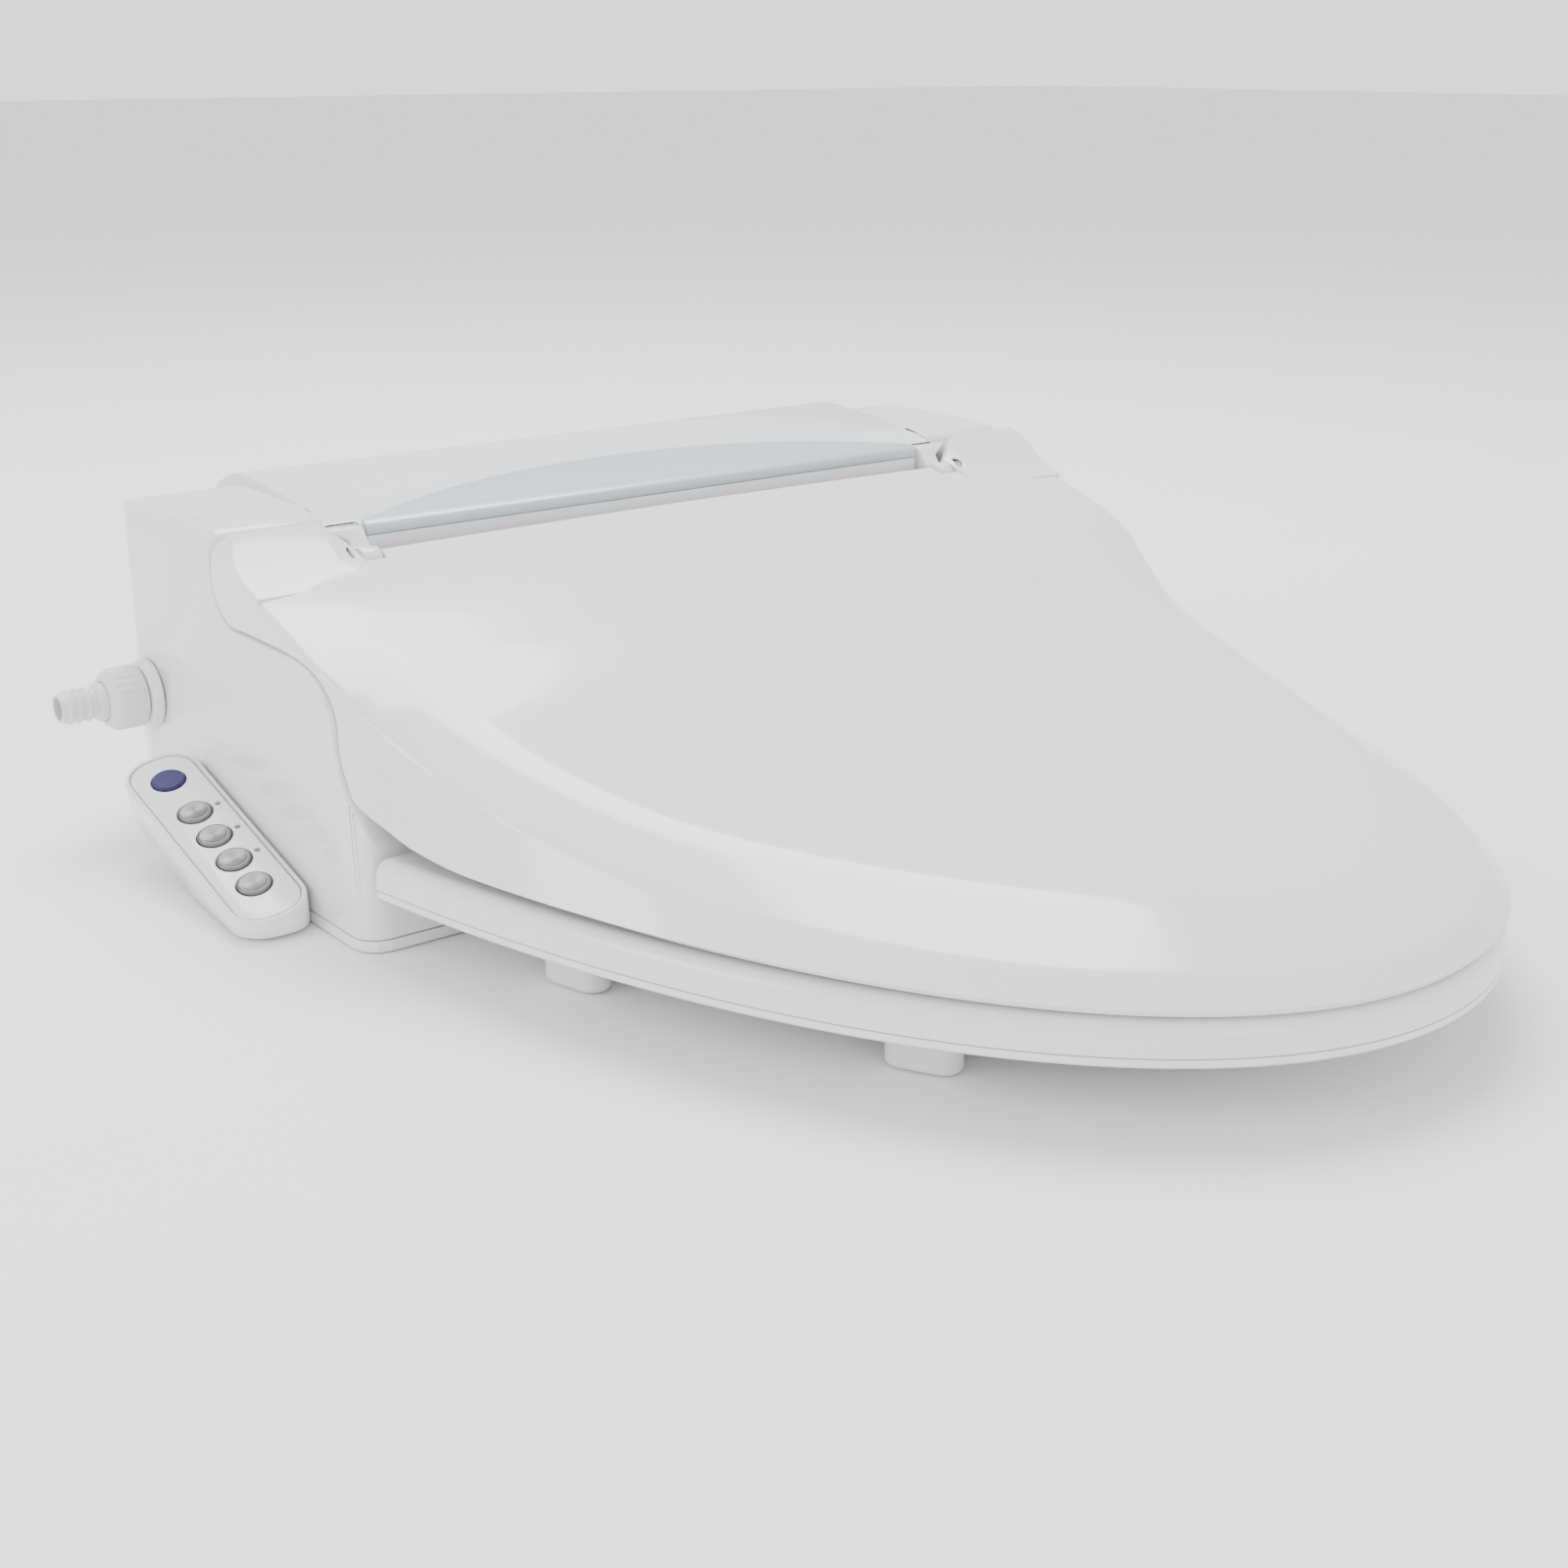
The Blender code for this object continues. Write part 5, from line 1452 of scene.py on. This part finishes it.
    def bumpers(self) -> None:
        """Builds the four oblong feet that rest on the rim."""
        for name, x, back, angle in self.bumper_places:
            for side in Side:
                turn = Matrix.Rotation(side.value * math.radians(angle), 4, "Z")
                frame = Matrix.Translation((side.value * x, depth(back), 0)) @ turn
                foot = rounded_box((-0.0125, -0.0062), (0.0125, 0.0062), 0.0060, 10)
                drops = ((0.0016, 0.0), (0.0007, 0.0003), (0.0, 0.0014), (0.0, self.underside - GAP))
                loops = [[(*p, z) for p in inset(foot, shrink)] for shrink, z in drops]
                item = self.maker.make(f"bumper_{name}_{side.word}", placed(lofted(loops), frame))
                self.maker.dress(item, RUBBER, "seat", f"seat_bumper_{name}_{side.word}")

    def build(self) -> None:
        """Builds and dresses the seat's pieces."""
        upper = self.maker.make("seat_upper_shell", self.ring(self.upper_section))
        self.maker.dress(upper, WHITE_SATIN, "seat", "seat_top", 40.0)
        lower = self.maker.make("seat_lower_shell", self.ring(self.lower_section))
        self.arms(lower)
        self.maker.dress(lower, WHITE_SATIN, "seat", "seat_base", 30.0)
        self.bumpers()


# ---- control pod and inlet -------------------------------------------------------------------------


@dataclass
class Key:
    """One button of the pod."""

    node: str
    body: str
    place: float
    finish: Finish


@dataclass
class Pod:
    """The control pod on the right-hand side: casing, glossy face, five keys and their lights."""

    maker: Maker
    half_width: float
    centre: Point3 = (-0.2120, 0.1350, 0.0242)
    pitch: float = 16.0
    roll: float = 13.0
    length: float = 0.112
    width: float = 0.029
    high: float = 0.0215
    corner: float = 0.0125
    panel_inset: float = 0.0022
    panel_thick: float = 0.0012
    key_radius: float = 0.0062
    key_height: float = 0.0032
    key_top: float = 0.0010
    rear_end: float = -0.0575
    light_line: float = -0.0091
    light_hole: float = 0.0011
    keys: list[Key] = field(
        default_factory=lambda: [
            Key("stop_button", "stop_key", -0.0403, INDIGO),
            Key("rear_wash_button", "rear_wash_key", -0.0168, SPUN),
            Key("front_wash_button", "front_wash_key", 0.0, SPUN),
            Key("dryer_button", "dryer_key", 0.0164, SPUN),
            Key("pressure_button", "pressure_key", 0.0328, SPUN),
        ]
    )

    @property
    def lit_keys(self) -> list[Key]:
        """The keys with a light beside them."""
        return self.keys[1:4]

    def light_row(self, margin: float) -> tuple[float, float]:
        """Where the row of lights starts and ends along the pod, with a margin."""
        return self.lit_keys[0].place - margin, self.lit_keys[-1].place + margin

    def frame(self) -> Matrix:
        """The pod's own axes: X outwards, Y along to the front, Z out of its face.

        Returns:
            The placing of the pod.
        """
        pitch, roll = math.radians(self.pitch), math.radians(self.roll)
        along = Vector((0, -math.cos(pitch), -math.sin(pitch)))
        up = Vector((0, -math.sin(pitch), math.cos(pitch)))
        across = along.cross(up)
        normal = (up * math.cos(roll) + across * math.sin(roll)).normalized()
        across = along.cross(normal)
        turn = Matrix((across, along, normal)).transposed().to_4x4()
        x, back, z = self.centre
        return Matrix.Translation((x, depth(back), z)) @ turn

    def outline(self, shrink: float) -> list[Point2]:
        """The face's outline, drawn in by a distance."""
        low, high = (-self.width / 2, self.rear_end), (self.width / 2, self.length + self.rear_end)
        return inset(rounded_box(low, high, self.corner, 16), shrink)

    def hole(self, place: float, radius: float, low: float) -> bmesh.types.BMesh:
        """A round cutter down through the face at a place along the pod."""
        return placed(turned(((radius, low), (radius, 0.01)), (0, place, 0), (0, 0, 1)), self.frame())

    def casing(self) -> None:
        """Builds the casing, with a raised rim round the face and a groove inside it."""
        frame = self.frame()
        shape = ((0.0019, 0.0), (0.0010, 0.0), (0.0003, -0.0003), (0.0, -0.0012), (0.0004, -0.010))
        shape += ((0.0015, -self.high), (0.0024, -self.high - 0.0012), (0.0045, -self.high - 0.002))
        loops = [[(*p, z) for p in self.outline(shrink)] for shrink, z in shape]
        item = self.maker.make("pod_case", placed(lofted(loops), frame))
        join = self.maker.join
        join(item, block((-0.30, -0.30, 0.0010), (-self.half_width - GAP, 0.20, 0.20)), Joining.KEEP)
        seat = self.outline(self.panel_inset - 0.0005)
        join(item, placed(prism(seat, Axis.Z, -self.panel_thick - GAP, 0.01), frame), Joining.CUT)
        for key in self.keys:
            join(item, self.hole(key.place, self.key_radius + PLAY, -0.0050), Joining.CUT)
        first, last = self.light_row(0.003)
        left, right = self.light_line - 0.0016, self.light_line + 0.0016
        join(item, placed(block((left, first, -0.0042), (right, last, 0.01)), frame), Joining.CUT)
        self.maker.dress(item, WHITE, "housing", "pod_casing")

    def panel(self) -> None:
        """Builds the face with its key holes and light holes."""
        frame = self.frame()
        shape = ((0.0, -self.panel_thick), (0.0, -0.0006), (0.0004, -0.0002), (0.0009, -0.0001))
        loops = [[(*p, z) for p in self.outline(self.panel_inset + shrink)] for shrink, z in shape]
        item = self.maker.make("pod_face", placed(lofted(loops), frame))
        for key in self.keys:
            self.maker.join(item, self.hole(key.place, self.key_radius + PLAY, -0.01), Joining.CUT)
        drill = ((self.light_hole, -0.01), (self.light_hole, 0.01))
        for key in self.lit_keys:
            mark = turned(drill, (self.light_line, key.place, 0), (0, 0, 1), 24)
            self.maker.join(item, placed(mark, frame), Joining.CUT)
        self.maker.dress(item, WHITE, "housing", "pod_panel")

    def lights(self) -> None:
        """Builds the clear bar with a peg in each light hole."""
        frame = self.frame()
        first, last = self.light_row(0.0025)
        left, right = self.light_line - 0.0012, self.light_line + 0.0012
        bar = block((left, first, -0.0038), (right, last, -self.panel_thick - GAP))
        item = self.maker.make("light_bar", placed(bar, frame))
        shape = ((0.0008, -0.0020), (0.0008, -0.0002), (0.0005, 0.0001))
        for key in self.lit_keys:
            peg = turned(shape, (self.light_line, key.place, 0), (0, 0, 1), 20)
            self.maker.join(item, placed(peg, frame), Joining.ADD)
        self.maker.dress(item, LENS, "housing", "indicator_lens")

    def button(self, key: Key) -> None:
        """Builds one key with a rounded rim and a faint dish, on its own axis.

        Args:
            key: Which one.
        """
        foot = self.key_top - self.key_height
        r, top = self.key_radius, self.key_top
        edge = arc((r - 0.0010, top - 0.0010), 0.0010, 0, 90, 5)
        shares = (0.75, 0.6, 0.45, 0.3, 0.15, 0.04)
        dish = [(r * share, top - 0.00022 * (1 - share * share)) for share in shares]
        shape = [(r, foot)] + edge + dish
        item = self.maker.make(key.node + "_cap", turned(shape, (0, 0, 0), (0, 0, 1), 72))
        item.matrix_world = self.frame() @ Matrix.Translation((0, key.place, 0))
        self.maker.dress(item, key.finish, key.body, key.node, 50.0)

    def build(self) -> None:
        """Builds and dresses the pod."""
        self.casing()
        self.panel()
        self.lights()
        for key in self.keys:
            self.button(key)


@dataclass
class Inlet:
    """Where the water hose screws on: collar, ribbed nut and threaded spigot."""

    maker: Maker
    half_width: float
    back: float
    height: float
    pipe_radius: float = 0.0075
    bore_radius: float = 0.0045
    tip: float = 0.234
    ribs: int = 24
    ring: Profile = (
        (0.0058, 0.0), (0.0064, 0.0004), (0.0068, 0.0009),
        (0.0068, 0.0017), (0.0064, 0.0022), (0.0058, 0.0026),
    )

    def at(self, x: float) -> Point3:
        """The point on the inlet's axis at an X."""
        return (x, depth(self.back), self.height)

    def spigot(self) -> None:
        """Builds the spigot with its rounded rings."""
        start = -self.half_width + 0.012
        reach = start + self.tip
        profile = [(self.pipe_radius, 0.0), (self.pipe_radius, reach - 0.0152), (0.0070, reach - 0.0146)]
        profile += [(0.0058, reach - 0.0140)]
        for n in range(3):
            base = reach - 0.0120 + n * 0.0036
            profile += [(radius, base + along) for radius, along in self.ring]
        bore = self.bore_radius
        profile += [(0.0058, reach - 0.0005), (0.0054, reach), (bore, reach), (bore, 0.0)]
        item = self.maker.make("spigot", turned(profile, self.at(start), (-1, 0, 0), 64, True))
        self.maker.dress(item, PALE, "housing", "inlet_pipe")

    def nut(self) -> None:
        """Builds the nut, with grip ribs round its middle."""
        inner = self.pipe_radius + GAP
        profile = [(inner, 0.0), (0.0106, 0.0), (0.0114, 0.0006), (0.0118, 0.0016), (0.0118, 0.0114)]
        profile += [(0.0112, 0.0126), (0.0100, 0.0142), (0.0092, 0.0150), (inner, 0.0150)]
        start = -self.half_width - 0.0052
        bm = turned(profile, self.at(start), (-1, 0, 0), self.ribs * 8, True)
        centre = Vector(self.at(0.0))
        for vert in bm.verts:
            along = start - vert.co.x
            out = Vector((0.0, vert.co.y - centre.y, vert.co.z - centre.z))
            if out.length > 0.0110 and 0.0010 < along < 0.0120:
                wave = math.cos(self.ribs * math.atan2(out.z, out.y))
                vert.co += out.normalized() * 0.0004 * wave
        item = self.maker.make("hose_nut", bm)
        self.maker.dress(item, PALE, "housing", "inlet_nut", 40.0)

    def collar(self) -> None:
        """Builds the round collar against the casing."""
        inner = self.pipe_radius + GAP
        profile = [(inner, 0.0), (0.0135, 0.0), (0.0135, 0.0028), (0.0131, 0.0038), (0.0122, 0.0042)]
        profile += [(inner, 0.0042)]
        start = self.at(-self.half_width - 0.0006)
        item = self.maker.make("spigot_collar", turned(profile, start, (-1, 0, 0), 72, True))
        self.maker.dress(item, WHITE, "housing", "inlet_collar")

    def build(self) -> None:
        """Builds and dresses the inlet."""
        self.spigot()
        self.nut()
        self.collar()


# ---- what the casing holds -------------------------------------------------------------------------


@dataclass
class Insides:
    """The CAD nodes whose shape stays, and the finish that each one takes."""

    nodes: dict[str, bpy.types.Object]
    finishes: dict[str, Finish] = field(
        default_factory=lambda: {
            "base_plate": WHITE, "mounting_bracket": PALE, "control_board": BOARD, "cord_gland": DARK,
            "deodoriser_cartridge": PALE, "dryer_element": FOIL, "dryer_fan": DARK, "dryer_flap": WHITE,
            "dryer_scroll": PALE, "fan_motor": DARK, "front_wash_nozzle": PALE, "rear_wash_nozzle": PALE,
            "nozzle_guide": PALE, "nozzle_motor": DARK, "heater_tank": PALE, "heater_tank_lid": PALE,
            "hinge_pin_left": STEEL, "hinge_pin_right": STEEL, "inlet_filter": DARK,
            "lid_buffer_left": RUBBER, "lid_buffer_right": RUBBER, "seat_heater": FOIL,
            "soft_close_damper_left": DARK, "soft_close_damper_right": DARK,
            "solenoid_valve": DARK, "wash_pump": DARK,
            "case_screw_front_left": STEEL, "case_screw_front_right": STEEL, "case_screw_rear_left": STEEL,
            "case_screw_rear_right": STEEL,
        }
    )

    def build(self) -> None:
        """Dresses every node that still shows."""
        for name, item in self.nodes.items():
            if item.hide_render:
                continue
            finish = self.finishes.get(name, PALE)
            item.data.materials.clear()
            item.data.materials.append(finish.material())
            LOG.info("%s: %s", name, finish.name)


# ---- stage -----------------------------------------------------------------------------------------


@dataclass
class SoftLight:
    """One large area light."""

    name: str
    place: Point3
    aim: Point3
    size: float
    power: float


@dataclass
class Stage:
    """The pale floor, the soft lights and the camera."""

    maker: Maker
    camera_place: Point3 = (-0.51693, -0.76797, 0.29777)
    camera_turn: Point3 = (71.58, 0.0, -37.96)
    focal: float = 51.01
    floor_half: float = 12.0
    world_strength: float = 1.75
    horizon: float = 1.0
    zenith: float = 0.72
    lights: tuple[SoftLight, ...] = (
        SoftLight("overhead_panel", (0.3, 0.5, 1.8), (0.0, -0.1, 0.0), 1.3, 42.0),
        SoftLight("left_panel", (-1.9, 0.2, 0.9), (-0.1, 0.0, 0.05), 0.9, 14.0),
        SoftLight("front_panel", (-0.4, -2.0, 0.7), (0.0, -0.2, 0.05), 0.7, 5.0),
    )

    def camera(self) -> None:
        """Creates the camera and makes it the scene's."""
        data = bpy.data.cameras.new("view_camera")
        data.lens = self.focal
        data.sensor_width = 36.0
        item = bpy.data.objects.new("view_camera", data)
        item.location = self.camera_place
        item.rotation_euler = tuple(math.radians(a) for a in self.camera_turn)
        bpy.context.scene.collection.objects.link(item)
        bpy.context.scene.camera = item

    def floor(self) -> None:
        """Creates the floor, just under the lowest face."""
        half = self.floor_half
        outline = rounded_box((-half, -half), (half, half), 1.0, 6)
        item = self.maker.make("pale_floor", prism(outline, Axis.Z, -0.05, -0.0006))
        pale = (0.95, 0.95, 0.95)
        paint = Finish("floor_paint", "white_gloss", pale, 0.7, 0.05, 0.004, 0.02, 0.0, edge_round=0.0)
        item.data.materials.append(paint.material())

    def world(self) -> None:
        """Sets an even pale surrounding."""
        world = bpy.data.worlds.new("pale_room")
        world.use_nodes = True
        tree = world.node_tree
        back = tree.nodes["Background"]
        back.inputs["Strength"].default_value = self.world_strength
        split = tree.nodes.new("ShaderNodeSeparateXYZ")
        tree.links.new(tree.nodes.new("ShaderNodeTexCoord").outputs["Generated"], split.inputs["Vector"])
        ramp = tree.nodes.new("ShaderNodeValToRGB")
        ramp.color_ramp.elements[0].position = 0.05
        ramp.color_ramp.elements[0].color = (*(self.horizon,) * 3, 1.0)
        ramp.color_ramp.elements[1].position = 0.85
        ramp.color_ramp.elements[1].color = (*(self.zenith,) * 3, 1.0)
        tree.links.new(split.outputs["Z"], ramp.inputs["Fac"])
        tree.links.new(ramp.outputs["Color"], back.inputs["Color"])
        bpy.context.scene.world = world

    def lamps(self) -> None:
        """Creates the soft lights."""
        for light in self.lights:
            data = bpy.data.lights.new(light.name, "AREA")
            data.shape = "DISK"
            data.size = light.size
            data.energy = light.power
            item = bpy.data.objects.new(light.name, data)
            item.location = light.place
            way = Vector(light.aim) - Vector(light.place)
            item.rotation_euler = way.to_track_quat("-Z", "Y").to_euler()
            bpy.context.scene.collection.objects.link(item)

    def build(self) -> None:
        """Sets the stage."""
        self.camera()
        self.floor()
        self.world()
        self.lamps()


def main() -> None:
    """Loads the frame and builds each sub-assembly in order."""
    logging.basicConfig(level=logging.INFO, format="%(name)s: %(message)s")
    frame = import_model()
    maker = Maker()
    hinge = Hinge()
    outline = SeatOutline()
    stage = Stage(maker)
    stage.build()
    housing = Housing(hinge, maker)
    housing.build()
    Seat(hinge, housing, outline, maker).build()
    Lid(hinge, housing, outline, maker).build()
    Pod(maker, housing.half_width).build()
    Inlet(maker, housing.half_width, housing.inlet_back, housing.inlet_height).build()
    Insides(frame["nodes"]).build()


if __name__ == "__main__":
    main()
